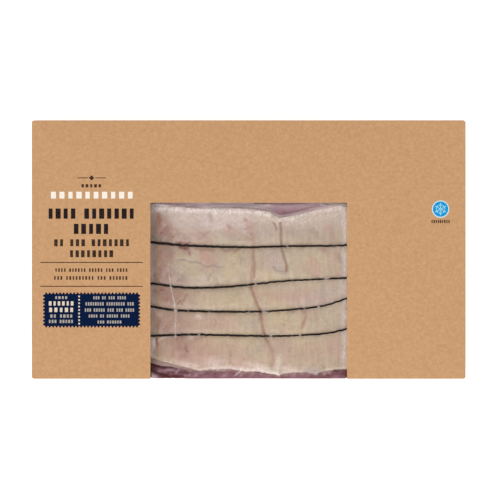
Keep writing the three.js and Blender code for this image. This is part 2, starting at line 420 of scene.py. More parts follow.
@dataclass(frozen=True)
class Stroke:
    """One mark that was laid down, seen from above, in millimetres."""

    mark: Mark
    width: float
    strength: float
    route: tuple[Point, ...]
    ragged: float = 0.25

    def reach(self, flat: np.ndarray) -> np.ndarray:
        """Says how strongly the stroke marks each place.

        Args:
            flat: Places seen from above, one to a row.

        Returns:
            Values from 0 to the stroke's strength.
        """
        route = np.array(self.route, float)
        starts = route[:-1] if len(route) > 1 else route
        ends = route[1:] if len(route) > 1 else route
        nearest = np.full(len(flat), np.inf)
        for start, end in zip(starts, ends):
            run = end - start
            share = np.clip((flat - start) @ run / max(run @ run, 1e-9), 0, 1)
            away = np.linalg.norm(flat - start - share[:, None] * run, axis=1)
            nearest = np.minimum(nearest, away)
        uneven = 1 + self.ragged * waves(flat, 4 * self.width + 2, len(route) + int(10 * self.width))
        return self.strength * np.exp(-((nearest / self.width * uneven) ** 2))


def marked(flat: np.ndarray, strokes: tuple[Stroke, ...], mark: Mark) -> np.ndarray:
    """Joins all strokes of one kind.

    Args:
        flat: Places seen from above, one to a row.
        strokes: All the strokes.
        mark: The kind to join.

    Returns:
        A value from 0 to 1 for each place.
    """
    left = np.ones(len(flat))
    for stroke in strokes:
        if stroke.mark is mark:
            left *= 1 - np.clip(stroke.reach(flat), 0, 1)
    return 1 - left


def refine(piece: bpy.types.Object, strokes: tuple[Stroke, ...], marks: tuple[Mark, ...], cuts: int) -> None:
    """Divides a mesh more finely where thin strokes will shape it.

    Args:
        piece: The mesh object.
        strokes: All the strokes.
        marks: The kinds of stroke that need finer faces.
        cuts: How many times each edge there is cut.
    """
    flat = points_of(piece)[:, :2]
    close = np.zeros(len(flat), bool)
    for stroke in strokes:
        if stroke.mark in marks:
            close |= stroke.reach(flat) > 0.04 * stroke.strength
    with editing(piece):
        choose(piece, Part.FACE, lambda face: face.normal.z > 0.1 and any(close[v.index] for v in face.verts))
        bpy.ops.mesh.subdivide(number_cuts=cuts)


def laid_down(mark: Mark, rows: Rows, ragged: float = 0.25) -> tuple[Stroke, ...]:
    """Reads strokes of one kind from a table.

    Args:
        mark: What they are.
        rows: For each stroke its width, its strength, and then x and y of each point of its route.
        ragged: How uneven their outlines are.

    Returns:
        The strokes.
    """
    return tuple(Stroke(mark, width, strength, tuple(zip(route[::2], route[1::2])), ragged)
                 for width, strength, *route in rows)


# The fat cap's two long edges as seen from above
FAT_NEAR_EDGE = (
    (-84, -72), (-67.6, -75), (-60.6, -77.3), (-51, -79.9), (-41.3, -82.3), (-34.4, -84.2), (-24.7, -83.2),
    (-13, -82.8), (-2.4, -84.8), (5.4, -84.6), (12.2, -85.8), (18.5, -86.6), (21, -87.5), (23.5, -86.4),
    (27.7, -85.6), (41.3, -85.1), (47, -85.9), (52.9, -84.2), (60.7, -83.2), (84, -82.8),
)
FAT_FAR_EDGE = (
    (-84, 33.5), (-67.6, 31.8), (-51, 29.8), (-40, 29.0), (-30.6, 28.8), (-22.8, 29.2), (-14, 29), (-7.3, 28.8),
    (0, 28.6), (7.3, 27.9), (13, 27), (16.2, 25.8), (18.2, 23.8), (20.4, 22.3), (24, 22.4), (27.7, 23),
    (34.4, 24.5), (46.1, 27.8), (53.9, 29.2), (60, 30.6), (84, 31),
)


def along_far_edge(mark: Mark, width: float, strength: float, beyond: float) -> Stroke:
    """Lays a stroke along the fat's far edge, some way beyond it."""
    return Stroke(mark, width, strength, tuple((x, y + beyond) for x, y in FAT_FAR_EDGE))


FAT_STROKES = (
    # Two long creases from the back of the fat to its front, and short brown ticks
    *laid_down(Mark.CREASE, (
        (1.3, 0.5, 2.8, 0.9, 2.4, -3.5, 3, -9, 2.8, -19.5, 1.5, -25.5),
        (0.5, 0.55, 3.6, 0.5, 3, -4.5, 3.9, -9, 3.8, -19),
        (1.1, 0.6, 1.3, -26, 3.4, -31.8, 5.7, -38, 7.8, -42, 8.4, -47.7),
        (0.5, 0.75, 1.7, -26, 3.8, -31.8, 6.1, -38, 8, -42, 8.7, -47.7),
        (1, 0.6, 8.4, -47.7, 9.4, -53.4, 10.6, -58, 13.1, -63.6),
        (0.5, 0.5, 8.7, -47.7, 9.7, -53.4, 10.9, -58, 12.6, -62.4),
        (1.3, 0.42, 13.1, -63.6, 15.8, -69.2, 17.2, -75.1, 16.4, -81),
        (0.65, 0.8, 21.9, 18.8, 22.3, 8.7, 22.7, 1.4, 23.2, -0.7),
        (0.75, 0.95, 23.2, -0.7, 24.1, -3.7, 25.2, -6.9, 26.2, -11, 26.1, -14.6),
        (0.9, 0.6, 26.2, -11.5, 26.1, -13.8), (0.6, 0.8, 17, 18.8, 18.3, 17, 19.2, 14.4),
        (0.55, 0.6, 21.3, 18.9, 22.1, 16, 22.9, 12.5, 22.8, 4), (0.8, 0.75, -47.4, -35.1, -49.2, -37.3),
        (0.7, 0.45, -43, -30.4, -45.1, -34.1, -46.5, -37.3), (0.9, 0.35, -26.6, -16.8, -27, -19.1, -27.7, -21.2),
        (0.9, 0.3, -6.8, -2.8, -5.3, -5.7, -5.7, -9.9),
        (0.8, 0.35, -23.4, -47.7, -22.5, -50.2, -23.4, -52.2, -23.6, -55.7),
        (0.8, 0.3, -12.4, -71.7, -12.8, -75.1, -12.1, -78.6, -10, -81.5), (0.6, 0.3, -29.5, -59.5, -28.8, -66),
        (0.7, 0.45, 39.4, -46.5, 38, -51.1, 36.9, -54.6), (0.6, 0.5, 50.2, -71),
        (0.7, 0.5, 50.6, -79.7, 52.9, -82.2), (0.7, 0.35, 36.9, -79.5),
    )),
    # Grey veins, and painted greyish shade beside them under the film
    *laid_down(Mark.VEIN, (
        (1, 0.6, 17.2, -12.2, 19.2, -14.9, 22.9, -14.9, 25.7, -15.6),
        (0.7, 0.7, -49.9, -7.1, -45.8, -6.7, -41.4, -8.1, -36.4, -8.6, -33.6, -9.4),
        (0.8, 0.6, -33.6, -9.4, -29.8, -11.7, -25.2, -10.8, -22, -11.8, -17.2, -11.7),
        (1.8, 0.35, -54, 0, -53.7, -11.5, -50.6, -16, -48.8, -20), (1.2, 0.4, 61.8, -3, 63.6, -8.5),
        (1.2, 0.4, 43.5, 14.5, 44, 12.5), (2.4, 0.6, -67.5, 9.4, -62, 7.4, -58, 6.4),
        (2.6, 0.4, -46, -18.4, -43, -21), (1, 0.35, 45.6, 15, 47.6, 10.4), (0.8, 0.3, 30.4, 12.6, 31, 7),
        (1.4, 0.35, 40, -84, 50, -84.4), (6, 0.13, -44, 9, -20, 8.6, 20, 10, 58, 9),
    )),
    # Blood along the strings and in the fat's hollows
    *laid_down(Mark.BLOOD, (
        (1.2, 0.7, -50, 4.5, -46, 4.6, -41, 4.2), (1.2, 0.8, -47.6, 1.5, -44, 1.1, -41.6, 1.2),
        (1.2, 0.3, -37, 0.6, -30, 0.1, -24, 0.2), (0.9, 0.42, -19, 0, -15, -0.7, -12.6, 0, -7, -0.2),
    ), 0.5),
    *laid_down(Mark.BLOOD, (
        (0.8, 0.5, -42.6, 1, -41.2, -1.8, -40.6, -3.4),
    ), 0.4),
    *laid_down(Mark.BLOOD, (
        (1, 0.6, -62.6, 24.6, -62.4, 21.6), (1.8, 0.35, -60, 12.6), (1, 0.5, -65.5, -17.8),
        (0.8, 0.55, -61.3, -27.3, -59.3, -28), (0.8, 0.6, -64.1, -61.3, -63.9, -66.7),
        (0.9, 0.75, -44.2, -68.2, -42.6, -70.3), (0.7, 0.35, -44, -65, -42.4, -68),
        (0.8, 0.45, -50, -60.5, -49.6, -63), (0.8, 0.35, 52.4, -0.6),
    )),
    # Brown-pink where the fat is thin or stained and small dark specks, with broad painted shade down the left
    # side and along the window's left edge
    *laid_down(Mark.BRUISE, (
        (1, 0.6, -14.4, 16.2, -13, 15), (0.9, 0.6, -2.6, 20.8, -1.8, 20), (0.8, 0.6, -2.8, 14.3, -2, 14),
        (5, 0.6, -63, 16, -61, 10, -57, 7), (3, 0.45, -61, 22, -57, 13), (4.5, 0.35, -64, 1, -62, -11, -61, -18),
        (4, 0.55, -60, -19, -63, -21), (4.5, 0.5, -60, -30, -59, -36, -54, -34), (3.5, 0.5, -62, -53, -57, -54),
        (2.4, 0.4, -56, -4, -55, -2), (2, 0.4, -45.5, -20, -46, -25), (2.2, 0.45, -41.5, -3, -45, -1),
        (2.6, 0.3, -62, -64, -64, -72), (2.4, 0.35, -50, -67, -44, -73), (2.5, 0.3, 1.8, 12, 1, 6),
        (1.8, 0.3, -33.8, 12.8, -28, 7), (2, 0.35, 51, 0, 54.5, -2), (2.6, 0.65, -61.4, 15, -59.4, 11.5),
        (1, 0.5, -60.6, 14.4, -59.8, 11.6), (4.5, 0.4, -63, 20, -61, 16, -56, 12), (4.5, 0.4, -61, -13, -58, -20),
        (4.5, 0.4, -60, -29, -56, -37), (1.4, 0.5, -65.6, -28.4, -63.6, -29.2),
        (5, 0.45, -64, -48, -56, -57, -48, -57), (1, 0.4, -0.6, 15, 1.8, 9.4, 3.8, 5),
        (0.9, 0.3, -30, -57, -30.4, -60), (1.4, 0.4, 37.6, -41.8, 40, -46, 38, -51),
        (1.2, 0.25, 46.4, -43.4, 46.8, -47.6), (1.3, 0.25, -41.2, -64, -43.2, -68.6),
        (1.2, 0.25, -13.6, -70.4, -12.4, -76), (1, 0.3, -37, -62, -30, -60.6), (0.8, 0.35, 39.7, -64.6),
        (0.9, 0.25, 55.3, -69.2), (0.8, 0.4, 49.4, 4.4), (1.4, 0.35, 49, 1, 53.6, 0.6),
        (0.7, 0.3, -45.6, 27.8, -43.8, 27.2), (0.8, 0.3, -26.8, 24.6, -25.6, 21),
        (0.6, 0.4, -26.8, 13, -31, 9.4, -36.5, 6.3), (0.6, 0.35, -28.4, 11.8, -33, 7),
        (0.6, 0.25, -3.2, 29, -2, 24), (0.6, 0.3, -2.6, 22, -1.6, 19.6), (1.4, 0.3, -27, 24, -25.6, 19),
        (2.4, 0.34, -68.3, 23, -68.3, 5), (5, 0.42, -58, 17, -56, 7), (2.2, 0.26, -68.4, 0, -68.4, -58),
        (3.6, 0.3, -60, -3, -60, -20), (5.5, 0.2, -42, -18, -42, -58),
        (9, 0.5, -57, 12, -55, -20, -51, -33, -50, -55, -48, -72), (6, 0.13, -44, 9, -20, 8.6, 20, 10, 58, 9),
    )),
    # Rosy patches, and the broad tint of the front bands
    *laid_down(Mark.ROSE, (
        (2.4, 0.5, 13, -66, 16.5, -72, 17, -80), (2.2, 0.5, 3.2, -12, 3, -18, 6.2, -40, 10.4, -48, 12, -57),
        (1.6, 0.55, 1.2, 24, 1.8, 14, 3.4, 6, 3.2, 1), (2.2, 0.6, -47, 6.4, -42, 5.6), (5, 0.6, -36, 8, -30, -4),
        (4, 0.5, -31, -4, -28, -9), (2.6, 0.6, -31, 11, -26, 6), (2.2, 0.7, -56.5, -3.5, -54, -6),
        (4, 0.5, 13.7, -31, 24, -33, 36, -31), (5, 0.25, 32, -36, 42, -34), (4, 0.45, 44, -8, 47, -16),
        (2.5, 0.5, 55, 18, 57, 10), (2, 0.6, 62, -17.5), (2.2, 0.5, 61, -2, 60, -5), (3, 0.5, 38, -53, 40, -47),
        (7, 0.4, -52, -72, -38, -76, -25, -74), (5, 0.35, -20, -50, -12, -52), (4, 0.4, 58, -62, 62, -72),
        (1.2, 0.7, -62.5, -63.5), (1.6, 0.6, 0, 19.5, -1, 17), (3, 0.5, -15, 14, -10, 12),
    )),
    *laid_down(Mark.ROSE, (
        (9, 0.35, -58, -68, -30, -70, -10, -72), (5, 0.28, -42, -77, -20, -78, 8, -79),
        (8, 0.35, 28, -72, 50, -70, 64, -66), (7, 0.3, -56, -47, -40, -50, -20, -52),
    ), 0.5),
    # Painted lilac sheen of the film over the back band and beside the creases
    *laid_down(Mark.LILAC, (
        (9, 0.5, -50, 20, -20, 18, 0, 18, 12, 14), (7, 0.5, 30, 16, 50, 20, 64, 20),
    ), 0.4),
    *laid_down(Mark.LILAC, (
        (4, 0.45, 16, -2, 20, -9, 24, -8), (5, 0.4, 30, -34, 48, -36, 60, -30),
        (1.5, 0.9, 39.5, -84, 45, -83.8, 50, -85), (2.8, 0.6, -31.6, 26, -30.4, 21), (3, 0.6, -3, 24, 0, 17),
        (3.2, 0.45, 18, -12, 25.4, -13.6),
    )),
    # Painted highlights: the film's milky shine over softer fat and the light rim of the near edge, and painted
    # light where the window's sides shade the fat
    *laid_down(Mark.PALE, (
        (1.3, 0.75, -66, 29.2, -50, 27.4, -30, 26.8, -8, 26.6, 6, 25.6, 14, 23.6),
        (1.1, 0.6, 30, 21.9, 40, 24, 52, 27, 66, 28), (6, 0.33, -28, 24, -16, 22, -4, 22),
        (3.5, 0.26, -30, 17, -20, 16), (5, 0.2, -46, 22, -38, 12), (1.3, 0.6, -66, -40.5, -61.4, -45.9),
        (1.2, 0.55, -35.7, -45.9, -33.5, -47), (1.4, 0.6, -66.5, -62, -65.5, -67),
        (1.2, 0.65, -57, -60.6, -51, -60.4), (2, 0.35, -26, -76.5, -23, -80.5),
        (1.6, 0.4, -30, -82.6, -22, -82.2), (2, 0.6, -8, -83.6, 0, -84, 7, -84.4),
        (2.6, 0.3, 0.5, -79.4, 6.5, -81), (2.2, 0.5, 20.4, -75.5, 20.2, -79, 19.8, -84),
        (1.6, 0.5, 24, -82, 32, -83.2), (2.6, 0.6, 67.6, 28, 67.8, 0, 67.8, -30, 67.6, -78),
        (0.9, 0.4, -58, -77.4, -51, -79, -41, -81.4, -34.6, -83.2, -25, -82.3),
        (1.1, 0.65, -24, -82, -13, -81.9, -2.4, -83.8, 5, -83.7, 12, -84.8, 20, -86.2),
        (0.9, 0.45, 24, -85.3, 36, -84.6), (0.9, 0.35, 53, -83, 67, -82), (1.6, 0.3, -50, -78.6, -42, -80.6),
        (2.4, 0.15, -16, -81, -6, -81.6), (2.2, 0.5, 7, -82, 14, -83), (1.6, 0.15, -52, -77, -40, -80.5),
        (0.6, 0.4, -67.4, -74, -63, -75.6, -58, -77.4, -52, -79), (1.8, 0.35, -45, -79.4, -36, -81.2),
        (2.6, 0.25, -27, -78.6, -21, -80.4), (1.3, 0.6, -41.2, -60.4, -39.6, -60.8),
        (0.9, 0.4, -62, -62.6, -58.6, -60.8), (0.9, 0.7, -69, 30.6, -60, 30, -50, 28.6, -36, 27.8, -28, 27.8),
        (1.6, 0.55, -34.5, 27.8, -29, 27.4), (2.2, 0.4, 20.4, 20.6, 26, 21, 32, 22.4),
        (1.2, 0.5, 17, 21.4, 19.4, 20.6), (2.6, 0.6, -68.4, 12, -68.4, -45, -68.4, -76),
        (4, 0.34, -58, 24.6, -30, 24, 0, 23.4, 14, 20.6, 34, 20, 46, 23, 60, 25),
    )),
    # Painted highlights on the rims of the fat's edges, and painted light against the lid's shadow along the
    # window's sides and corners
    *laid_down(Mark.WHITE, (
        (0.7, 0.6, -67, -61.6, -65.4, -63.6, -64.8, -66.6), (0.6, 0.55, -62.6, -63.8, -60.8, -61.6, -57.6, -60.6),
        (2.8, 0.58, 68.1, 29, 67.9, 0, 67.9, -35, 67.9, -80), (2.4, 0.8, -68.3, 30, -68.3, 17),
        (2.2, 0.72, -68.6, 12, -68.6, -45, -68.6, -76), (3.2, 0.9, -68.5, 30, -63, 29.4),
        (2, 0.7, -60, 28.6, -40, 27.4, -20, 27.4, 0, 27, 14, 25), (1.8, 0.5, -26, 27.6, 0, 27.4, 14, 25.4),
        (1.6, 0.45, 22, 20.8, 36, 23.4, 48, 26.8, 58, 29), (1.8, 0.8, 60, 30, 68, 30.4),
        (0.8, 0.45, -24, -82.9, -13, -82.5, -2.4, -84.5, 12, -85.5, 20, -86.9),
    )),
    # Warmer, yellower fat
    *laid_down(Mark.BUTTER, (
        (5, 0.5, -9, -4, -10, -12, -13, -17), (5, 0.5, 10, -18, 18, -19), (4, 0.5, 16, -37, 24, -38),
        (6, 0.5, -25, -63, -12, -64, 0, -64), (5, 0.45, -54, -77, -50, -74), (7, 0.5, 22, -48, 28, -55),
        (6, 0.4, -30, -37, -10, -36, -2, -36), (4, 0.4, 42, -8, 48, -6), (5, 0.4, 33, -63, 42, -68),
    )),
    # A painted highlight along the whole far edge of the fat
    along_far_edge(Mark.WHITE, 0.9, 0.85, -0.3),
)

LEAN_STROKES = (
    # Painted lilac sheen of the slack film over the strip beyond the far edge, and painted light where the lid
    # shades that strip
    *laid_down(Mark.LILAC, (
        (3, 0.84, -69, 32, -30, 31, 8, 30.4, 14, 31), (1.6, 0.8, -32, 31.6, -18, 31.2, -4, 31, 6, 30.6),
        (3.7, 0.55, 14, 32, 24, 30.4, 40, 31.2, 56, 32, 68, 32), (1.3, 0.6, -68, -86, -66.5, -88.4),
    )),
    # Wet blood in the folds of the near edge
    *laid_down(Mark.BLOOD, (
        (0.6, 0.6, -50, 30.2, -40, 29.5, -33, 29.2), (1.9, 0.9, -61, -87, -55, -88.2, -50, -88),
        (1.8, 0.8, -67, -81.6, -64.4, -83), (1.2, 0.8, -48.3, -84.6, -44, -84.4),
        (2, 0.6, 55, -87, 60, -85.6, 67, -85.2), (1.4, 0.35, 44, -88, 54, -87.4),
    )),
    # Dark folds of the near left, and thin ones along both edges, darkened with painted shade; those along the
    # window's far edge are painted shadow of the lid
    *laid_down(Mark.FOLD, (
        (0.5, 0.3, 4, 32.2, 15, 32.1, 22, 31.9, 40, 32.2),
        (0.9, 1, -69, -79.3, -63.5, -81, -59, -82, -55.8, -81.2, -50, -82.4),
        (1.1, 1, -69, -83.4, -65.5, -85.3, -61.5, -86.9, -56.5, -88),
        (0.7, 0.7, -56, -85.2, -50, -84.6, -46, -86, -42, -85.4), (0.9, 0.9, -53, -88.4, -46, -88.2),
        (0.8, 0.6, -24, -86.5, -21, -84.5), (0.8, 0.6, -29, -85.2, -26, -84.6), (1, 0.6, 48.8, -86),
        (0.8, 0.6, 59, -83.8, 63, -84.2), (0.5, 0.5, 4.4, 32.3, 16, 32.3), (0.35, 0.6, 54, 31.6, 61, 31.2),
    )),
    # Thin tags of fat and film along both edges, painted pale as highlights, and painted light where the lid
    # shades the far strip
    *laid_down(Mark.PALE, (
        (0.7, 0.6, -50, -85.6, -48.8, -84.4), (0.6, 0.22, -62, -84.2, -54, -83.4, -48, -83.2),
        (0.8, 0.5, -67.5, -86.5, -64, -88), (0.6, 0.22, -44, -87.4, -36, -87), (0.6, 0.3, -8, -86.4, -4.6, -87.6),
        (0.6, 0.3, -18, -87.6, -15.5, -86.6), (0.6, 0.4, 52.5, -86.4, 57, -85),
        (1.4, 0.9, -34, 31.6, -16, 31.4, 4, 30.6, 11, 30.2), (1.2, 0.9, -69, 31.4, -63, 31, -57, 30.4),
        (0.8, 0.9, 50, 31.4, 54, 31, 58, 30.6), (1.5, 1, 57, 32.2, 69, 31.9), (1.2, 0.5, 18.4, 24, 21, 23.2),
    )),
    # Painted sheen along the whole far edge of the fat, on lean that the fat's edge shades
    along_far_edge(Mark.LILAC, 1.0, 0.6, 0.8),
)

# Where the bare lean starts below the fat cap's near edge
LEAN_SEAM = (
    (-84, -76), (-67.5, -79), (-63.2, -80.3), (-57.5, -81), (-50.6, -82), (-41.9, -83.3), (-33, -84.2),
    (-19, -84.2), (-12.6, -83.8), (-6, -84.4), (-1.2, -85.5), (5.7, -85), (12.6, -85.8), (18.3, -86.7),
    (21.3, -87.9), (22.9, -86.8), (26.4, -86), (34.8, -86.1), (40.3, -85.4), (44.9, -86.5), (48.3, -86.7),
    (49.9, -85), (51.7, -86), (56.4, -84.5), (60.4, -83.1), (84, -82.8),
)

FILM_STROKES = (
    # The one long wrinkle, little folds that fan out of the near edge, and folds at the far edge's notch, all
    # painted milky white as highlights; the fold under the lid's far edge on the right is painted light in the
    # lid's shadow
    *laid_down(Mark.RIDGE, (
        (0.45, 0.3, -56.1, -12.2, -55.3, -16.6, -54.6, -20),
        (0.5, 0.65, -55, -18, -54.2, -23.5, -53.4, -28.5, -52.4, -33),
        (0.62, 0.75, -52.2, -33.5, -51.3, -38, -50.5, -43), (0.5, 0.6, -50.4, -44.5, -50.6, -49, -50.7, -52.5),
        (0.55, 0.6, -50.7, -53, -50.8, -57, -50.7, -60.8), (0.5, 0.45, -19.5, -74, -20.6, -79.5, -22, -83.6),
        (0.5, 0.5, -17.6, -73, -17.4, -79, -18, -83.8), (0.5, 0.5, -13.6, -75, -15.4, -80, -17, -83.6),
        (0.6, 0.7, -22.6, -82, -21, -83.2), (0.6, 0.6, -8.5, -82.6, -6, -84.4),
        (0.5, 0.5, -6, -84.8, -9.6, -87.2), (0.7, 0.4, 21, -85, 21.4, -87.4), (0.9, 0.5, 42, -84.6, 47, -86),
        (1, 1, 54, 32.2, 62, 31.9, 70, 31.8), (0.6, 0.5, 15.6, 25.2, 18.6, 23.4, 20.6, 22.6),
        (0.6, 0.5, 51.5, 31.6, 58, 29.6), (0.5, 0.5, 55, 31.8, 61, 30.4),
    )),
    # A painted highlight fold along the whole far edge of the fat, which also lightens the shade at the fat's
    # foot
    along_far_edge(Mark.RIDGE, 0.5, 0.6, 0.3),
)

# Short folds of film that cross the strings and hide them, as x, y, width and strength
FILM_TICKS = (
    (53.7, -20.7, 1.5, 0.98), (-0.5, -24.8, 0.4, 0.4), (4.8, -24.1, 0.6, 0.7), (-27.5, -42.7, 0.4, 0.35),
    (0.2, -42.9, 0.4, 0.4), (10.6, -42.7, 1.6, 0.5), (38.6, -40.8, 0.35, 0.75), (48.3, -39.8, 0.65, 0.85),
    (-42.1, -42.6, 0.4, 0.3), (-41.6, -58.9, 0.9, 0.2), (-34.6, -59, 0.7, 0.45), (15.4, -60, 0.95, 0.85),
    (35.5, -59.4, 0.6, 0.8), (30, -59.6, 0.4, 0.3), (26.7, 2.2, 0.7, 0.4), (58.6, 3.2, 0.3, 0.5),
    (60.4, 3.3, 0.3, 0.55), (62.9, 3.3, 0.3, 0.55), (65.2, 3.5, 0.3, 0.5), (30.2, -21.4, 0.3, 0.35),
    (22, -22.3, 0.3, 0.35), (42.6, -20.9, 0.3, 0.35), (-54, -25.9, 0.7, 0.85), (-50.7, -42.4, 0.95, 0.9),
    (-50.8, -59.1, 0.5, 0.5),
)
WRINKLES = FILM_STROKES + tuple(
    Stroke(Mark.CROSS, width, strength, ((x, y + 0.45), (x + 0.1, y - 0.45)))
    for x, y, width, strength in FILM_TICKS
)


@dataclass(frozen=True)
class KraftBoard:
    """Unbleached kraft carton board, rolled, printed and die cut: matt brown, with short fibres and flecks."""

    brown: str = "#c99c71"
    shade: str = "#bd8f65"
    fleck: str = "#8f6a48"
    edge: str = "#d6b48d"
    fibre_mm: float = 0.9
    cloud_mm: float = 2.6
    fleck_mm: float = 1.1

    def material(self, name: str, cut_edge: bool = False) -> bpy.types.Material:
        """Makes the board's face, or the paler core that shows where it is cut.

        Args:
            name: The material's name.
            cut_edge: Whether it is the cut core.

        Returns:
            The material.
        """
        material, tree, shader = new_material(name)
        place = add_node(tree, "TexCoord", {}, "Object")
        # Short fibres lie a little more along the board, drawn three times as coarse as real so that they show
        along = add_node(tree, "Mapping", {"Vector": place, "Scale": (0.75, 1.0, 1.0)})
        fibre, cloud, dots = add_nodes(tree, "TexNoise", NOISE, (
            (along, spacing(self.fibre_mm), 3.0),
            (place, spacing(self.cloud_mm), 4.0, 0.6),
            (place, spacing(self.fleck_mm), 2.0),
        ))
        both = add_node(tree, "Math", {0: fibre, 1: cloud}, operation="MULTIPLY")
        tone, few = add_nodes(tree, "MapRange", RANGE, ((both, 0.14, 0.36), (dots, 0.68, 0.78, 0.0, 0.5)))
        colour = linear(self.shade)
        for share, tint in ((tone, self.edge if cut_edge else self.brown), (few, self.fleck)):
            colour = add_node(tree, "Mix", {0: share, 6: colour, 7: linear(tint)}, 2, data_type="RGBA")
        relief = add_node(tree, "Bump", {"Height": fibre, "Strength": 0.25, "Distance": 0.06 * MM})
        feed(shader, {"Base Color": colour, "Normal": relief, "Roughness": 0.85, "Specular IOR Level": 0.3})
        return material


@dataclass(frozen=True)
class PrintInk:
    """Flexographic ink on kraft: flat colour that lets a little of the board's fibre through."""

    name: str
    ink: str
    cover: float = 0.97
    board: str = "#c0946a"
    fibre_mm: float = 0.7

    def material(self) -> bpy.types.Material:
        """Makes the ink.

        Returns:
            The material.
        """
        material, tree, shader = new_material(self.name)
        place = add_node(tree, "TexCoord", {}, "Object")
        fibre = add_node(tree, "TexNoise", {"Vector": place, "Scale": spacing(self.fibre_mm), "Detail": 3.0})
        bare, = add_nodes(tree, "MapRange", RANGE, ((fibre, 0.4, 0.8, 0.0, 3 * (1 - self.cover)),))
        colour = add_node(tree, "Mix", {0: bare, 6: linear(self.ink), 7: linear(self.board)}, 2, data_type="RGBA")
        feed(shader, {"Base Color": colour, "Roughness": 0.8, "Specular IOR Level": 0.08})
        return material


@dataclass(frozen=True)
class BeefFat:
    """Chilled beef fat, trimmed and pressed under film: waxy, cream to rose, smooth and a little see-through."""

    cream: str = "#b8a68b"
    rosy: str = "#b19687"
    dull: str = "#a69887"
    thread: str = "#9a7160"
    # Painted darker and lighter streaks of the film's pull wrinkles
    pull_shade: Colour = (0.91, 0.85, 0.8, 1.0)
    pull_sheen: Colour = (1.05, 1.06, 1.04, 1.0)
    lobe_low: Colour = (0.93, 0.9, 0.9, 1.0)
    lobe_high: Colour = (1.06, 1.08, 1.07, 1.0)
    # The pale, white and lilac tints are painted sheen, highlights and light against shade; the bruise tint is
    # partly painted shade
    marks: tuple[tuple[Mark, str], ...] = (
        (Mark.BUTTER, "#bea883"),
        (Mark.LILAC, "#b7a1a0"),
        (Mark.ROSE, "#b78c7e"),
        (Mark.PALE, "#dccac3"),
        (Mark.WHITE, "#f5e6e2"),
        (Mark.BRUISE, "#946a5e"),
        (Mark.VEIN, "#8a7c70"),
        (Mark.CREASE, "#8e6a50"),
        (Mark.BLOOD, "#7a2426"),
    )

    def material(self) -> bpy.types.Material:
        """Makes the fat.

        Returns:
            The material.
        """
        material, tree, shader = new_material("beef_fat")
        place = add_node(tree, "TexCoord", {}, "Object")
        shift = add_node(tree, "Mapping", {"Vector": place, "Location": (0.3, 0.1, 0.2)})
        # The film was drawn down over the right and the front, and its pull shows as streaks across the strings,
        # painted as lighter and darker bands where its fine wrinkles catch and lose the light
        drawn = add_node(tree, "Mapping", {"Vector": place, "Scale": (1.0, 0.1, 0.3)})
        broad, patch, lobes, pull, vessel = add_nodes(tree, "TexNoise", NOISE, (
            (place, spacing(13), 3.0, 0.6),
            (shift, spacing(5), 4.0, 0.65),
            (place, spacing(1.5), 3.0, 0.6, 0.4),
            (drawn, spacing(2.2), 4.0, 0.65, 0.3),
            (shift, spacing(11), 3.0, 0.5, 1.5),
        ))
        across = add_node(tree, "SeparateXYZ", {"Vector": place}, "X")
        back = add_node(tree, "SeparateXYZ", {"Vector": place}, "Y")
        to_rose, to_dull, broken, feather = add_nodes(tree, "MapRange", RANGE, (
            (broad, 0.38, 0.68, 0.0, 0.8),
            (patch, 0.46, 0.68, 0.0, 0.65),
            (patch, 0.48, 0.6, 0.0, 0.4),
            (lobes, 0.3, 0.7, 0.5, 1.4),
        ))
        right, front, along_pull, in_lobe = add_nodes(tree, "MapRange", RANGE, (
            (across, -20 * MM, 40 * MM, 0.1, 0.75),
            (back, -18 * MM, -32 * MM, 0.0, 0.7),
            (pull, 0.35, 0.65),
            (lobes, 0.3, 0.7),
        ))
        # Fine vessels are 0.3 mm wide and show as broken threads
        off_line = add_node(tree, "Math", {0: vessel, 1: 0.5, 2: 0.012}, operation="COMPARE")
        threads = add_node(tree, "Math", {0: off_line, 1: broken}, operation="MULTIPLY")
        tints = [(to_rose, self.rosy), (to_dull, self.dull), (threads, self.thread)]
        for mark, tint in self.marks:
            layer = add_node(tree, "Attribute", {}, "Fac", attribute_name=mark.value)
            share = add_node(tree, "Math", {0: layer, 1: feather}, operation="MULTIPLY", use_clamp=True)
            tints.append((share, tint))
        colour = linear(self.cream)
        for share, tint in tints:
            colour = add_node(tree, "Mix", {0: share, 6: colour, 7: linear(tint)}, 2, data_type="RGBA")
        # Painted light and shade of the film's pull streaks, over the right and the front
        dragged = add_node(tree, "Math", {0: right, 1: front}, operation="MAXIMUM")
        for share, at, low, high in (
            (dragged, along_pull, self.pull_shade, self.pull_sheen),
            (1.0, in_lobe, self.lobe_low, self.lobe_high),
        ):
            tone = add_node(tree, "Mix", {0: at, 6: low, 7: high}, 2, data_type="RGBA")
            colour = add_node(tree, "Mix", {0: share, 6: colour, 7: tone}, 2,
                              data_type="RGBA", blend_type="MULTIPLY")
        relief = add_node(tree, "Bump", {"Height": patch, "Strength": 0.35, "Distance": 0.5 * MM})
        for height, strength, distance in ((pull, 0.3, 0.35), (lobes, 0.25, 0.2)):
            relief = add_node(tree, "Bump", {
                "Height": height, "Strength": strength, "Distance": distance * MM, "Normal": relief,
            })
        feed(shader, {
            "Base Color": colour, "Normal": relief, "Coat Normal": relief,
            "Roughness": 0.5, "IOR": 1.45, "Coat Weight": 0.5, "Coat Roughness": 0.22,
            "Subsurface Weight": 0.12, "Subsurface Radius": (1.0, 0.55, 0.4), "Subsurface Scale": 1.5 * MM,
        })
        return material


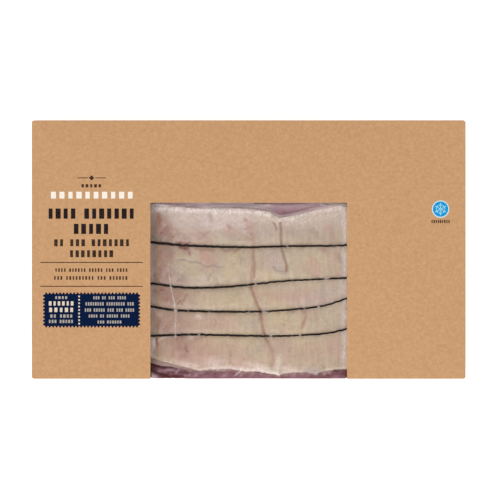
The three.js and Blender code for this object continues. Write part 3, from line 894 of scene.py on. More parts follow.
@dataclass(frozen=True)
class BeefLean:
    """Raw beef muscle with no air on it: plum and dusky lilac, wet, with grain and a little marbling."""

    plum: str = "#7c4f58"
    lilac: str = "#8f6b76"
    wine: str = "#6f3c46"
    marbling: str = "#bda39c"
    # The lilac and pale tints are painted sheen and light in shade; the fold tint is painted shade in the folds
    # and shadow of the lid
    marks: tuple[tuple[Mark, str], ...] = (
        (Mark.LILAC, "#e8ccd2"),
        (Mark.PALE, "#e2d0d2"),
        (Mark.BLOOD, "#5a1a1c"),
        (Mark.FOLD, "#3d1216"),
    )
    thin_fat: str = "#a58a82"

    def material(self) -> bpy.types.Material:
        """Makes the lean meat.

        Returns:
            The material.
        """
        material, tree, shader = new_material("beef_lean")
        place = add_node(tree, "TexCoord", {}, "Object")
        # Bundles of fibres about 1.5 mm thick, drawn out sideways by the film along the joint's long edges
        grained = add_node(tree, "Mapping", {"Vector": place, "Scale": (0.22, 1.0, 0.7)})
        broad, grain, vein = add_nodes(tree, "TexNoise", NOISE, (
            (place, spacing(9), 4.0, 0.6),
            (grained, spacing(1.5), 3.0, 0.5, 0.6),
            (place, spacing(6), 5.0, 0.7, 1.2),
        ))
        to_lilac, to_wine, to_fat = add_nodes(tree, "MapRange", RANGE, (
            (broad, 0.42, 0.62),
            (grain, 0.5, 0.7, 0.0, 0.6),
            (vein, 0.64, 0.7, 0.0, 0.5),
        ))
        tints = [(to_lilac, self.lilac), (to_wine, self.wine), (to_fat, self.marbling)]
        for mark, tint in (*self.marks, (Mark.SKIN, self.thin_fat)):
            tints.append((add_node(tree, "Attribute", {}, "Fac", attribute_name=mark.value), tint))
        colour = linear(self.plum)
        for share, tint in tints:
            colour = add_node(tree, "Mix", {0: share, 6: colour, 7: linear(tint)}, 2, data_type="RGBA")
        relief = add_node(tree, "Bump", {"Height": grain, "Strength": 0.4, "Distance": 0.4 * MM})
        feed(shader, {
            "Base Color": colour, "Normal": relief, "Coat Normal": relief,
            "Roughness": 0.6, "IOR": 1.35, "Specular IOR Level": 0.15,
            "Coat Weight": 0.05, "Coat Roughness": 0.25,
            "Subsurface Weight": 0.08, "Subsurface Radius": (1.0, 0.35, 0.25), "Subsurface Scale": 1.2 * MM,
        })
        return material


@dataclass(frozen=True)
class ButchersString:
    """Dark cotton butcher's string, three-ply twisted and damp: nearly black, with paler fibres on the crowns."""

    dark: str = "#060403"
    fibre: str = "#17100d"
    fibre_mm: float = 0.35

    def material(self) -> bpy.types.Material:
        """Makes the string.

        Returns:
            The material.
        """
        material, tree, shader = new_material("butchers_string")
        place = add_node(tree, "TexCoord", {}, "Object")
        fuzz = add_node(tree, "TexNoise", {"Vector": place, "Scale": spacing(self.fibre_mm), "Detail": 2.0})
        colour = add_node(tree, "Mix", {0: fuzz, 6: linear(self.dark), 7: linear(self.fibre)}, 2,
                          data_type="RGBA")
        relief = add_node(tree, "Bump", {"Height": fuzz, "Strength": 0.4, "Distance": 0.08 * MM})
        feed(shader, {"Base Color": colour, "Normal": relief, "Roughness": 0.9, "Specular IOR Level": 0.2})
        return material


@dataclass(frozen=True)
class VacuumFilm:
    """Clear barrier film, drawn tight: shiny and almost unseen where it clings, milky where it folds, with
    painted highlights on its folds and painted sheen where it stands off.
    """

    # The pale colour of the painted highlights and sheen on the film
    tint: str = "#e0cfc8"
    cross_tint: str = "#a9947e"
    clear: float = 0.015
    lifted_sheen: float = 0.2
    fold_glare: float = 0.8
    roughness: float = 0.16

    def material(self) -> bpy.types.Material:
        """Makes the film.

        Returns:
            The material.
        """
        material, tree, shader = new_material("vacuum_film")
        fold, lift, cross = (add_node(tree, "Attribute", {}, "Fac", attribute_name=mark.value)
                             for mark in (Mark.RIDGE, Mark.VEIL, Mark.CROSS))
        # Where the film stands off or folds it turns more opaque and pale: painted sheen and painted highlights
        veil = add_node(tree, "MapRange", {"Value": lift, "To Min": self.clear, "To Max": self.lifted_sheen})
        milk = add_node(tree, "MapRange", {"Value": fold, "To Min": veil, "To Max": self.fold_glare})
        cover = add_node(tree, "Math", {0: milk, 1: cross}, operation="MAXIMUM")
        colour = add_node(tree, "Mix", {0: cross, 6: linear(self.tint), 7: linear(self.cross_tint)}, 2,
                          data_type="RGBA")
        feed(shader, {"Alpha": cover, "Base Color": colour, "Roughness": self.roughness, "IOR": 1.5})
        return material


@dataclass
class Carton:
    """The folded kraft carton, with its window over the lid and the front."""

    board: float = 0.8
    crease: float = 0.6
    crease_segments: int = 3
    window_half_width: float = 68.0
    window_far_edge: float = 32.4
    window_sill: float = 26.0
    flap_foot: float = 26.0
    flap_half_depth: float = 88.0
    flap_taper: float = 3.0
    flap_lift: float = 0.4
    rim_wear: float = 0.22
    seam_height: float = 2.2
    seam_size: float = 0.35
    soft_angle: float = math.radians(31)

    def build(self) -> None:
        """Models the carton from a block and dresses it."""
        low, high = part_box("card_carton")
        size = (high - low) / MM
        carton = start_from(bpy.ops.mesh.primitive_cube_add, size=1, location=(low + high) / 2)
        carton.scale = Vector((size.x - 2 * self.board, size.y, size.z)) * MM
        bpy.ops.object.transform_apply(location=True, rotation=True, scale=True)
        with editing(carton):
            bpy.ops.mesh.select_all(action="SELECT")
            bpy.ops.mesh.bevel(offset=self.crease * MM, segments=self.crease_segments, affect="EDGES")
            for end in (-1, 1):
                self._raise_flap(carton, end, size.x / 2 - self.board)
            self._score_seam(carton, size.y / 2)
            self._open_window(carton)
        board = KraftBoard()
        carton.data.materials.append(board.material("kraft_board"))
        carton.data.materials.append(board.material("kraft_board_cut", cut_edge=True))
        shape_with(carton, "SOLIDIFY", thickness=self.board * MM, offset=-1.0, use_even_offset=True,
                   use_quality_normals=True, material_offset_rim=1)
        self._break_rim(carton)
        pick_only(carton)
        bpy.ops.object.shade_smooth_by_angle(angle=self.soft_angle)
        finish_piece(carton, "kraft_carton", carton.data.materials[0])
        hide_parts("card_carton")

    def _break_rim(self, carton: bpy.types.Object) -> None:
        """Rounds the window's cut edges a little, where the die frayed the board.

        Args:
            carton: The carton with its walls.
        """
        with editing(carton):
            choose(carton, Part.EDGE, lambda edge: len({face.material_index for face in edge.link_faces}) == 2)
            bpy.ops.mesh.bevel(offset=self.rim_wear * MM, segments=1, affect="EDGES", material=1)

    def _raise_flap(self, carton: bpy.types.Object, end: int, wall: float) -> None:
        """Raises the glued outer flap, which hangs from the lid, one board's thickness off an end.

        Args:
            carton: The carton in edit mode.
            end: -1 for the left end and 1 for the right.
            wall: The end wall's distance from the middle.
        """
        def on_end(face: bmesh.types.BMFace) -> bool:
            """Whether a face is on this end."""
            return face.normal.x * end > 0.05

        def on_flap(face: bmesh.types.BMFace) -> bool:
            """Whether a face is where the flap hangs."""
            middle = face.calc_center_median() / MM
            return on_end(face) and middle.z > self.flap_foot and abs(middle.y) < self.flap_half_depth

        def at_foot_corner(vert: bmesh.types.BMVert) -> bool:
            """Whether a point is the corner of the flap's foot on this side.

            Args:
                vert: The point.

            Returns:
                True where it is.
            """
            x, y, z = vert.co / MM
            level = abs(z - self.flap_foot) < 0.01 and abs(x * end - wall) < 0.01
            return level and abs(abs(y) - self.flap_half_depth) < 0.01 and y * side > 0

        def at_flap_foot(vert: bmesh.types.BMVert) -> bool:
            """Whether a point is on the outside of the flap's foot."""
            x, _, z = vert.co / MM
            return abs(x * end - wall - self.board) < 0.01 and z < self.flap_foot + 0.01

        cut(carton, on_end, Vector((0, 0, self.flap_foot * MM)), Vector((0, 0, 1)))
        for side in (-1, 1):
            cut(carton, on_end, Vector((0, side * self.flap_half_depth * MM, 0)), Vector((0, 1, 0)))
        for side in (-1, 1):
            choose(carton, Part.VERT, at_foot_corner)
            bpy.ops.transform.translate(value=(0, -side * self.flap_taper * MM, 0))
        choose(carton, Part.FACE, on_flap)
        bpy.ops.mesh.extrude_region_move(TRANSFORM_OT_translate={"value": (end * self.board * MM, 0, 0)})
        choose(carton, Part.VERT, at_flap_foot)
        bpy.ops.transform.translate(value=(end * self.flap_lift * MM, 0, 0))

    def _score_seam(self, carton: bpy.types.Object, wall: float) -> None:
        """Sinks the thin line along the back wall's foot where the blank is glued to itself.

        Args:
            carton: The carton in edit mode.
            wall: The back wall's distance from the middle.
        """
        def on_back(face: bmesh.types.BMFace) -> bool:
            """Whether a face is on the back wall."""
            return face.normal.y > 0.9

        def in_seam(face: bmesh.types.BMFace) -> bool:
            """Whether a face is in the seam's line."""
            height = face.calc_center_median().z / MM
            return on_back(face) and self.seam_height < height < self.seam_height + self.seam_size

        for height in (self.seam_height, self.seam_height + self.seam_size):
            cut(carton, on_back, Vector((0, wall * MM, height * MM)), Vector((0, 0, 1)))
        choose(carton, Part.FACE, in_seam)
        bpy.ops.mesh.extrude_region_move(TRANSFORM_OT_translate={"value": (0, -self.seam_size * MM, 0)})

    def _open_window(self, carton: bpy.types.Object) -> None:
        """Cuts the window out of the lid and on over the front crease.

        Args:
            carton: The carton in edit mode.
        """
        def on_lid(face: bmesh.types.BMFace) -> bool:
            """Whether a face is on the lid or the front crease."""
            return face.normal.z > 0.05 and abs(face.normal.x) < 0.5 and face.normal.y > -0.999

        def on_front(face: bmesh.types.BMFace) -> bool:
            """Whether a face is on the front wall or its crease."""
            return face.normal.y < -0.05 and abs(face.normal.x) < 0.5 and face.normal.z > -0.05

        def in_window(face: bmesh.types.BMFace) -> bool:
            """Whether a face is cut out for the window.

            Args:
                face: The face.

            Returns:
                True where it is.
            """
            middle = face.calc_center_median() / MM
            across = abs(middle.x) < self.window_half_width
            over_lid = on_lid(face) and middle.y < self.window_far_edge
            down_front = on_front(face) and middle.z > self.window_sill
            return across and (over_lid or down_front)

        for side in (-1, 1):
            cut(carton, lambda face: on_lid(face) or on_front(face),
                Vector((side * self.window_half_width * MM, 0, 0)), Vector((1, 0, 0)))
        cut(carton, on_lid, Vector((0, self.window_far_edge * MM, 0)), Vector((0, 1, 0)))
        cut(carton, on_front, Vector((0, 0, self.window_sill * MM)), Vector((0, 0, 1)))
        choose(carton, Part.FACE, in_window)
        bpy.ops.mesh.delete(type="FACE")


@dataclass(frozen=True)
class Row:
    """A row of plain blocks that stands for a line of print, in millimetres on the lid."""

    left: float
    right: float
    top: float
    bottom: float
    words: tuple[int, ...]


@dataclass
class Print:
    """All that is printed on the lid, each ink a thin layer of its own."""

    lid: float
    layer: float = 0.05
    word_gap: float = 0.8
    unevenness: float = 0.14
    heading_rows: tuple[Row, ...] = (
        Row(-139.6, -78.3, 28.4, 21.3, (4, 7)),
        Row(-121.9, -96.1, 17.8, 10.8, (5,)),
    )
    line_rows: tuple[Row, ...] = (
        Row(-116.3, -101.5, 45.2, 43.0, (5,)),
        Row(-135.3, -81.9, 7.1, 2.3, (2, 3, 7)),
        Row(-124.5, -93.1, -0.5, -5.3, (8,)),
        Row(126.1, 139.3, 20.5, 18.3, (9,)),
    )
    fine_rows: tuple[Row, ...] = (
        Row(-134.2, -83.5, -13.0, -15.4, (4, 6, 5, 3, 4)),
        Row(-135.1, -83.5, -18.4, -20.9, (3, 9, 3, 6)),
    )
    white_rows: tuple[Row, ...] = (Row(-138.0, -79.0, 40.0, 35.3, (10,)),)
    panel_bright_rows: tuple[Row, ...] = (
        Row(-138.8, -120.6, -35.8, -38.7, (6,)),
        Row(-138.8, -120.6, -40.2, -43.2, (5,)),
    )
    panel_dim_rows: tuple[Row, ...] = (
        Row(-134.3, -125.1, -32.3, -34.2, (4,)),
        Row(-137.6, -121.6, -44.9, -47.1, (2, 4)),
        Row(-138.6, -121.2, -48.6, -50.8, (3, 5)),
        Row(-107.8, -84.7, -32.3, -34.4, (3, 2, 3, 4)),
        Row(-113.2, -79.3, -36.4, -38.7, (8, 8, 3)),
        Row(-113.7, -79.0, -40.7, -43.0, (3, 5, 3, 3, 4)),
        Row(-111.0, -82.2, -44.9, -47.0, (4, 2, 5, 4)),
        Row(-104.9, -87.8, -49.1, -51.1, (3, 6)),
    )
    rules: tuple[float, ...] = (-8.9, -25.4)
    rule_ends: Point = (-144.1, -73.3)
    rule_width: float = 0.6
    panel_middle: Point = (-108.65, -41.8)
    panel_size: Point = (65.2, 22.2)
    teeth: tuple[int, int] = (27, 9)
    tooth_steps: int = 6
    tooth_half: float = 0.31
    tooth_height: float = 0.45
    dot_column: float = -117.3
    dots: tuple[float, float, int] = (-32.4, -51.2, 9)
    dot_radius: float = 0.64
    dot_sides: int = 16
    badge: Point = (132.7, 28.0)
    badge_ring: float = 6.0
    badge_disc: float = 5.3
    badge_sides: int = 64
    flake_reach: float = 4.24
    flake_width: float = 0.5
    flake_twig: float = 1.5
    twig_turn: float = math.radians(52)
    ornament: Point = (-108.65, 49.6)
    lozenge: Point = (2.6, 2.6)
    short_rule: Point = (7.0, 0.5)
    short_rule_place: float = 6.2

    def build(self) -> None:
        """Models every ink of the print and dresses it."""
        navy_black = PrintInk("ink_navy_black", "#100e16")
        brown_black = PrintInk("ink_brown_black", "#2b1f19", cover=0.94)
        navy = PrintInk("ink_navy", "#001537", cover=1.0)
        white = PrintInk("ink_white", "#f3ebdf", cover=0.96)
        bone = PrintInk("ink_bone", "#dccdbb", cover=0.96)
        dim = PrintInk("ink_dim_white", "#a8a19a", cover=0.96)
        pale = PrintInk("ink_pale_blue", "#cfe2e6", cover=0.97)
        blue = PrintInk("ink_blue", "#0f90cf", cover=1.0)
        ice = PrintInk("ink_ice", "#a9e6f6", cover=1.0)
        self._finish(self._rows(self.heading_rows, 0.6), "print_heading", navy_black, 1)
        self._finish(self._rows(self.line_rows, 0.58), "print_lines", brown_black, 1)
        self._finish(self._rows(self.fine_rows, 0.5), "print_fine_lines", brown_black, 1)
        self._finish(self._rows(self.white_rows, 0.56), "print_white_line", white, 1)
        self._finish(self._rule_lines(), "print_rules", brown_black, 1)
        self._finish(self._ornament(), "print_ornament", brown_black, 1)
        self._finish(self._panel(), "print_panel", navy, 1)
        self._finish(self._rows(self.panel_bright_rows, 0.54), "print_panel_bright", bone, 2)
        self._finish(self._rows(self.panel_dim_rows, 0.62), "print_panel_dim", dim, 2)
        self._finish(self._dots(), "print_panel_dots", bone, 2)
        self._finish(self._badge(self.badge_ring), "print_badge_ring", pale, 1)
        self._finish(self._badge(self.badge_disc), "print_badge_disc", blue, 2)
        self._finish(self._snowflake(), "print_badge_flake", ice, 3)

    def _finish(self, piece: bpy.types.Object, name: str, ink: PrintInk, level: int) -> None:
        """Gives a flat outline the ink's thickness at its level on the lid and dresses it.

        Args:
            piece: The flat outline.
            name: The piece's name.
            ink: What it is printed with.
            level: How many inks lie on the board there.
        """
        shape_with(piece, "SOLIDIFY", thickness=self.layer * level * MM, offset=1.0)
        finish_piece(piece, name, ink.material())

    def _on_lid(self, place: Point) -> Vector:
        """Gives a place on the lid in metres."""
        return Vector((place[0], place[1], self.lid)) * MM

    @contextmanager
    def _drawing(self) -> Iterator[bpy.types.Object]:
        """Holds a new, empty mesh in edit mode for flat shapes to be drawn in.

        Yields:
            The new object.
        """
        flat = start_from(bpy.ops.mesh.primitive_plane_add, size=MM, location=(0, 0, 0))
        with editing(flat):
            bpy.ops.mesh.select_all(action="SELECT")
            bpy.ops.mesh.delete(type="VERT")
            yield flat

    def _bar(self, middle: Point, size: Point, turn: float = 0.0) -> None:
        """Draws one straight bar, in edit mode.

        Args:
            middle: The bar's middle.
            size: Its length and width.
            turn: Its turn from +X, in radians.
        """
        place = self._on_lid(middle)
        bpy.ops.mesh.primitive_plane_add(size=MM, location=place)
        bpy.ops.transform.resize(value=(size[0], size[1], 1), center_override=place)
        if turn:
            bpy.ops.transform.rotate(value=-turn, orient_axis="Z", center_override=place)

    def _rows(self, rows: tuple[Row, ...], fill: float) -> bpy.types.Object:
        """Draws rows of plain blocks of slightly uneven widths, grouped as words.

        Args:
            rows: The rows.
            fill: How much of each block's share of the line is inked.

        Returns:
            The flat blocks.
        """
        with self._drawing() as flat:
            for row in rows:
                gaps = len(row.words) - 1
                pitch = (row.right - row.left) / (sum(row.words) + gaps * self.word_gap)
                middle = (row.top + row.bottom) / 2
                start = row.left
                for word in row.words:
                    for i in range(word):
                        width = pitch * fill * (1 + self.unevenness * math.sin(2.4 * i + 1.3 * word))
                        self._bar((start + pitch / 2, middle), (width, row.top - row.bottom))
                        start += pitch
                    start += self.word_gap * pitch
        return flat

    def _rule_lines(self) -> bpy.types.Object:
        """Draws the two thin rules.

        Returns:
            The flat rules.
        """
        left, right = self.rule_ends
        with self._drawing() as flat:
            for height in self.rules:
                self._bar(((left + right) / 2, height), (right - left, self.rule_width))
        return flat

    def _ornament(self) -> bpy.types.Object:
        """Draws a plain lozenge between two short rules.

        Returns:
            The flat ornament.
        """
        x, y = self.ornament
        with self._drawing() as flat:
            self._bar((x, y), self.lozenge, math.pi / 4)
            for side in (-1, 1):
                self._bar((x + side * self.short_rule_place, y), self.short_rule)
        return flat

    def _panel(self) -> bpy.types.Object:
        """Draws the panel with a row of round teeth along every edge.

        Returns:
            The flat panel.
        """
        half = np.array(self.panel_size) / 2
        corners = np.array([(-1, -1), (1, -1), (1, 1), (-1, 1)]) * half
        outline = []
        for side in range(4):
            start, end = corners[side], corners[(side + 1) % 4]
            count = self.teeth[side % 2]
            run = (end - start) / count
            outward = np.array((run[1], -run[0])) * self.tooth_height
            for i in range(count):
                for step in range(self.tooth_steps + 1):
                    angle = math.pi * step / self.tooth_steps
                    along = run * (0.5 - self.tooth_half * math.cos(angle))
                    outline.append(start + run * i + along + outward * math.sin(angle))
        panel = start_from(bpy.ops.mesh.primitive_circle_add, vertices=len(outline), radius=MM,
                           fill_type="NGON")
        middle = np.array(self.panel_middle)
        put_points(panel, np.array([(*(middle + point), self.lid) for point in outline]))
        return panel

    def _badge(self, radius: float) -> bpy.types.Object:
        """Draws a filled circle in the round mark's place.

        Args:
            radius: Its radius.

        Returns:
            The flat circle.
        """
        disc = start_from(bpy.ops.mesh.primitive_circle_add, vertices=self.badge_sides, radius=radius * MM,
                          fill_type="NGON", location=self._on_lid(self.badge))
        bpy.ops.object.transform_apply(location=True, rotation=True, scale=True)
        return disc

    def _dots(self) -> bpy.types.Object:
        """Draws the column of dots.

        Returns:
            The flat dots.
        """
        top, bottom, count = self.dots
        with self._drawing() as flat:
            for i in range(count):
                place = self._on_lid((self.dot_column, top + (bottom - top) * i / (count - 1)))
                bpy.ops.mesh.primitive_circle_add(vertices=self.dot_sides, radius=self.dot_radius * MM,
                                                  fill_type="NGON", location=place)
        return flat

    def _snowflake(self) -> bpy.types.Object:
        """Draws a six-armed snowflake with forked arms, the usual sign for freezing.

        Returns:
            The flat snowflake.
        """
        middle = Vector(self.badge)
        with self._drawing() as flat:
            for arm in range(6):
                turn = math.pi / 2 - arm * math.pi / 3
                half_arm = Vector((math.cos(turn), math.sin(turn))) * self.flake_reach / 2
                self._bar(middle + half_arm, (self.flake_reach, self.flake_width), turn)
                for side in (-1, 1):
                    lean = turn + side * self.twig_turn
                    half_twig = Vector((math.cos(lean), math.sin(lean))) * self.flake_twig / 2
                    self._bar(middle + half_arm + half_twig, (self.flake_twig, self.flake_width), lean)
        return flat


@dataclass
class Joint:
    """The meat: the lean and its fat cap."""

    fat_voxel: float = 0.85
    lean_voxel: float = 1.0
    fat_lumps: Lumps = ((0.28, 21, 3), (0.16, 9, 4), (0.07, 4, 5))
    lean_lumps: Lumps = ((0.25, 14, 8), (0.12, 5, 9))
    window_half_width: float = 68.0
    window_plane: float = -89.62
    column_width: float = 1.1
    foot_press: float = 0.9
    fillet: float = 1.3
    fraying: float = 0.2
    edge_zone: float = 9.0
    tuck: float = 0.9
    front_pull: float = 0.95
    sill_blend: Point = (27.2, 31.0)
    crease_depth: float = 0.75
    vein_depth: float = 0.25
    pale_height: float = 0.3

    def build(self, nodes: dict[str, bpy.types.Object]) -> tuple[bpy.types.Object, bpy.types.Object]:
        """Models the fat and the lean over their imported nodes.

        Args:
            nodes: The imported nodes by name.

        Returns:
            The finished fat and lean.
        """
        fat = self._dense(nodes["fat_cap"], self.fat_voxel)
        self._work_fat(fat)
        finish_piece(fat, "fat_layer", BeefFat().material())
        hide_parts("fat_cap")
        lean = self._dense(nodes["lean_meat"], self.lean_voxel)
        self._work_lean(lean)
        finish_piece(lean, "lean_muscle", BeefLean().material())
        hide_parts("lean_meat")
        return fat, lean

    def _dense(self, node: bpy.types.Object, voxel: float) -> bpy.types.Object:
        """Makes a smooth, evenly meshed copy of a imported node.

        Args:
            node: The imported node.
            voxel: The mesh's spacing in millimetres.

        Returns:
            The copy.
        """
        dense = closed_copy(node)
        shape_with(dense, "SUBSURF", levels=2, render_levels=2)
        shape_with(dense, "REMESH", mode="VOXEL", voxel_size=voxel * MM)
        shape_with(dense, "SMOOTH", factor=0.5, iterations=4)
        smooth(dense)
        return dense

    def _work_fat(self, fat: bpy.types.Object) -> None:
        """Presses lumps, creases and stains into the fat.

        Args:
            fat: The fat's dense mesh.
        """
        refine(fat, FAT_STROKES, (Mark.CREASE, Mark.VEIN), 1)
        points = points_of(fat)
        outward = normals_of(fat)
        flat = points[:, :2]
        top = ramp(outward[:, 2], 0.0, 0.35)
        for side, line in ((-1, FAT_NEAR_EDGE), (1, FAT_FAR_EDGE)):
            self._fit_edge(points, outward, side, np.array(line))
        seen = {mark: marked(flat, FAT_STROKES, mark) for mark, _ in BeefFat().marks}
        for mark, values in seen.items():
            store(fat, mark.value, values)
        pressed = self.crease_depth * seen[Mark.CREASE]
        pressed += self.vein_depth * (seen[Mark.VEIN] + seen[Mark.BLOOD])
        points += outward * (top * (lumpy(points, self.fat_lumps) - pressed))[:, None]
        put_points(fat, points)

    def _fit_edge(self, points: np.ndarray, outward: np.ndarray, side: int, line: np.ndarray) -> None:
        """Brings one long edge of the fat to its measured line, and presses its foot into the lean.

        Args:
            points: The fat's points, which are moved.
            outward: The outward direction at each point.
            side: -1 for the near edge and 1 for the far one.
            line: The edge as seen from above.
        """
        column = np.round(points[:, 0] / self.column_width).astype(int)
        first = column.min()
        reach = np.full(column.max() - first + 1, -np.inf)
        np.maximum.at(reach, column - first, side * points[:, 1])
        centres = (np.arange(len(reach)) + first) * self.column_width
        reach = np.interp(points[:, 0], centres, reach)
        wanted = side * np.interp(points[:, 0], line[:, 0], line[:, 1])
        wanted += self.fraying * waves(points[:, :1], 3.4, 60 + side)
        seen = 1 - ramp(np.abs(points[:, 0]), self.window_half_width + 3, self.window_half_width + 11)
        by_edge = ramp(side * points[:, 1], reach - self.edge_zone, reach - 1) * seen
        points[:, 1] += side * (wanted - reach) * by_edge
        points[:, 2] -= self.foot_press * by_edge * ramp(-outward[:, 2], -0.2, 0.4)

    def _work_lean(self, lean: bpy.types.Object) -> None:
        """Presses folds into the lean where it shows, draws it in under the fat and out through the window.

        Args:
            lean: The lean's dense mesh.
        """
        refine(lean, LEAN_STROKES, (Mark.FOLD, Mark.PALE), 1)
        points = points_of(lean)
        outward = normals_of(lean)
        flat = points[:, :2]
        near, far = (np.interp(flat[:, 0], *np.array(line).T) for line in (FAT_NEAR_EDGE, FAT_FAR_EDGE))
        covered = ramp(flat[:, 1], near + 3, near + 8) * (1 - ramp(flat[:, 1], far - 3, far - 0.4))
        covered *= ramp(outward[:, 2], 0.1, 0.4)
        points += outward * (lumpy(points, self.lean_lumps) - self.tuck * covered)[:, None]
        half = self.window_half_width
        rise = ramp(flat[:, 1], far - 1.5, far - 0.2) * (1 - ramp(flat[:, 1], far + 0.5, far + 3))
        rise *= ramp(outward[:, 2], 0.3, 0.7) * (1 - ramp(np.abs(flat[:, 0]), half + 2, half + 8))
        points[:, 2] += self.fillet * rise
        in_window = 1 - ramp(np.abs(points[:, 0]), half - 0.8, half + 0.8)
        in_window *= ramp(points[:, 2], *self.sill_blend)
        facing = ramp(-outward[:, 1], 0.25, 0.7) * ramp(-points[:, 1], 70, 76)
        points[:, 1] += self.front_pull * in_window * facing * (self.window_plane - points[:, 1])
        top = ramp(outward[:, 2], -0.3, 0.3)
        seen = {mark: marked(flat, LEAN_STROKES, mark) * top for mark, _ in BeefLean().marks}
        for mark, values in seen.items():
            store(lean, mark.value, values)
        store(lean, Mark.SKIN.value, self._above_seam(flat) * top)
        points -= outward * (seen[Mark.FOLD] - self.pale_height * seen[Mark.PALE])[:, None]
        put_points(lean, points)

    def _above_seam(self, flat: np.ndarray) -> np.ndarray:
        """Says where thin, greyish fat still covers the lean beyond the fat cap's near edge.

        Args:
            flat: Places seen from above, one to a row.

        Returns:
            1 behind the line where the bare lean starts, and 0 in front of it.
        """
        seam = np.array(LEAN_SEAM)
        line = np.interp(flat[:, 0], seam[:, 0], seam[:, 1]) + 0.35 * waves(flat[:, :1], 6, 31)
        return ramp(flat[:, 1], line - 0.3, line + 0.5) * (1 - ramp(flat[:, 1], -40, -30))


@dataclass
class Strings:
    """The four loops of butcher's string."""

    count: int = 4
    corners: int = 6
    radius: float = 0.7
    thickness: tuple[Point, ...] = ((-68, 1.3), (-35, 1.28), (-8, 1.14), (15, 0.96), (60, 0.85))
    stoutness: tuple[float, ...] = (1.0, 0.97, 0.98, 1.14)
    lay_pitch: float = 5.4
    stray: float = 0.16
    unevenness: float = 0.3
    steps_per_turn: int = 8
    plies: int = 3
    between_rings: int = 20

    def build(self, nodes: dict[str, bpy.types.Object]) -> list[bpy.types.Object]:
        """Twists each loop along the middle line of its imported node.

        Args:
            nodes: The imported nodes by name.

        Returns:
            The finished loops.
        """
        material = ButchersString().material()
        loops = []
        for number in range(1, self.count + 1):
            name = f"string_{number}"
            loop = self._twist(self._middle_line(nodes[name]), self.stoutness[number - 1])
            finish_piece(loop, f"twisted_{name}", material)
            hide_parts(name)
            loops.append(loop)
        return loops

    def _middle_line(self, node: bpy.types.Object) -> np.ndarray:
        """Finds the middle line of a packed loop from its rings of corners.

        Args:
            node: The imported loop.

        Returns:
            Evenly spaced points round the loop, in millimetres.
        """
        corners = np.unique(np.round(points_of(node), 3), axis=0)
        middle = (corners.min(axis=0) + corners.max(axis=0)) / 2
        order = np.argsort(np.arctan2(corners[:, 2] - middle[2], corners[:, 0] - middle[0]))
        rings = corners[order].reshape(-1, self.corners, 3).mean(axis=1)
        around = [np.roll(rings, shift, axis=0) for shift in (1, 0, -1, -2)]
        line = []
        for t in np.linspace(0, 1, self.between_rings, endpoint=False):
            before, here, after, beyond = around
            line.append(0.5 * (2 * here + (after - before) * t
                               + (2 * before - 5 * here + 4 * after - beyond) * t ** 2
                               + (3 * here - before - 3 * after + beyond) * t ** 3))
        fine = np.stack(line, axis=1).reshape(-1, 3)
        steps = np.linalg.norm(np.roll(fine, -1, axis=0) - fine, axis=1)
        gone = np.concatenate([[0], np.cumsum(steps)])
        closed = np.vstack([fine, fine[:1]])
        turns = round(gone[-1] / self.lay_pitch)
        stops = np.linspace(0, gone[-1], turns * self.steps_per_turn, endpoint=False)
        return np.stack([np.interp(stops, gone, closed[:, axis]) for axis in range(3)], axis=1)

    def _twist(self, line: np.ndarray, stout: float) -> bpy.types.Object:
        """Lays three plies round a middle line.

        Args:
            line: Evenly spaced points round the loop.
            stout: How thick the string is for its kind.

        Returns:
            The plies as one mesh.
        """
        along = np.roll(line, -1, axis=0) - np.roll(line, 1, axis=0)
        along /= np.linalg.norm(along, axis=1)[:, None]
        outward = np.cross(np.tile((0.0, 1.0, 0.0), (len(line), 1)), along)
        outward /= np.linalg.norm(outward, axis=1)[:, None]
        sideways = np.cross(along, outward)
        line = line + self.stray * waves(line, 4, 41)[:, None] * sideways
        ply = self.radius / (1 + 2 / math.sqrt(3))
        offset = self.radius - ply
        curve = bpy.data.curves.new("plies", "CURVE")
        curve.dimensions = "3D"
        curve.bevel_depth = ply * MM
        curve.bevel_resolution = 1
        turn = 2 * math.pi * np.arange(len(line)) / self.steps_per_turn
        # Towards the right the fat has half closed over the string
        plump = stout * np.interp(line[:, 0], *np.array(self.thickness).T)
        for strand in range(self.plies):
            angle = turn + 2 * math.pi * strand / self.plies
            route = line + offset * (np.cos(angle)[:, None] * outward + np.sin(angle)[:, None] * sideways)
            spline = curve.splines.new("POLY")
            spline.points.add(len(route) - 1)
            flat = np.column_stack([route * MM, np.ones(len(route))]).ravel()
            spline.points.foreach_set("co", flat)
            spline.points.foreach_set("radius", plump * (1 + self.unevenness * waves(line, 1.9, 50 + strand)))
            spline.use_cyclic_u = True
        loop = bpy.data.objects.new("plies", curve)
        bpy.context.scene.collection.objects.link(loop)
        pick_only(loop)
        bpy.ops.object.convert(target="MESH")
        bpy.ops.object.shade_smooth()
        return bpy.context.active_object


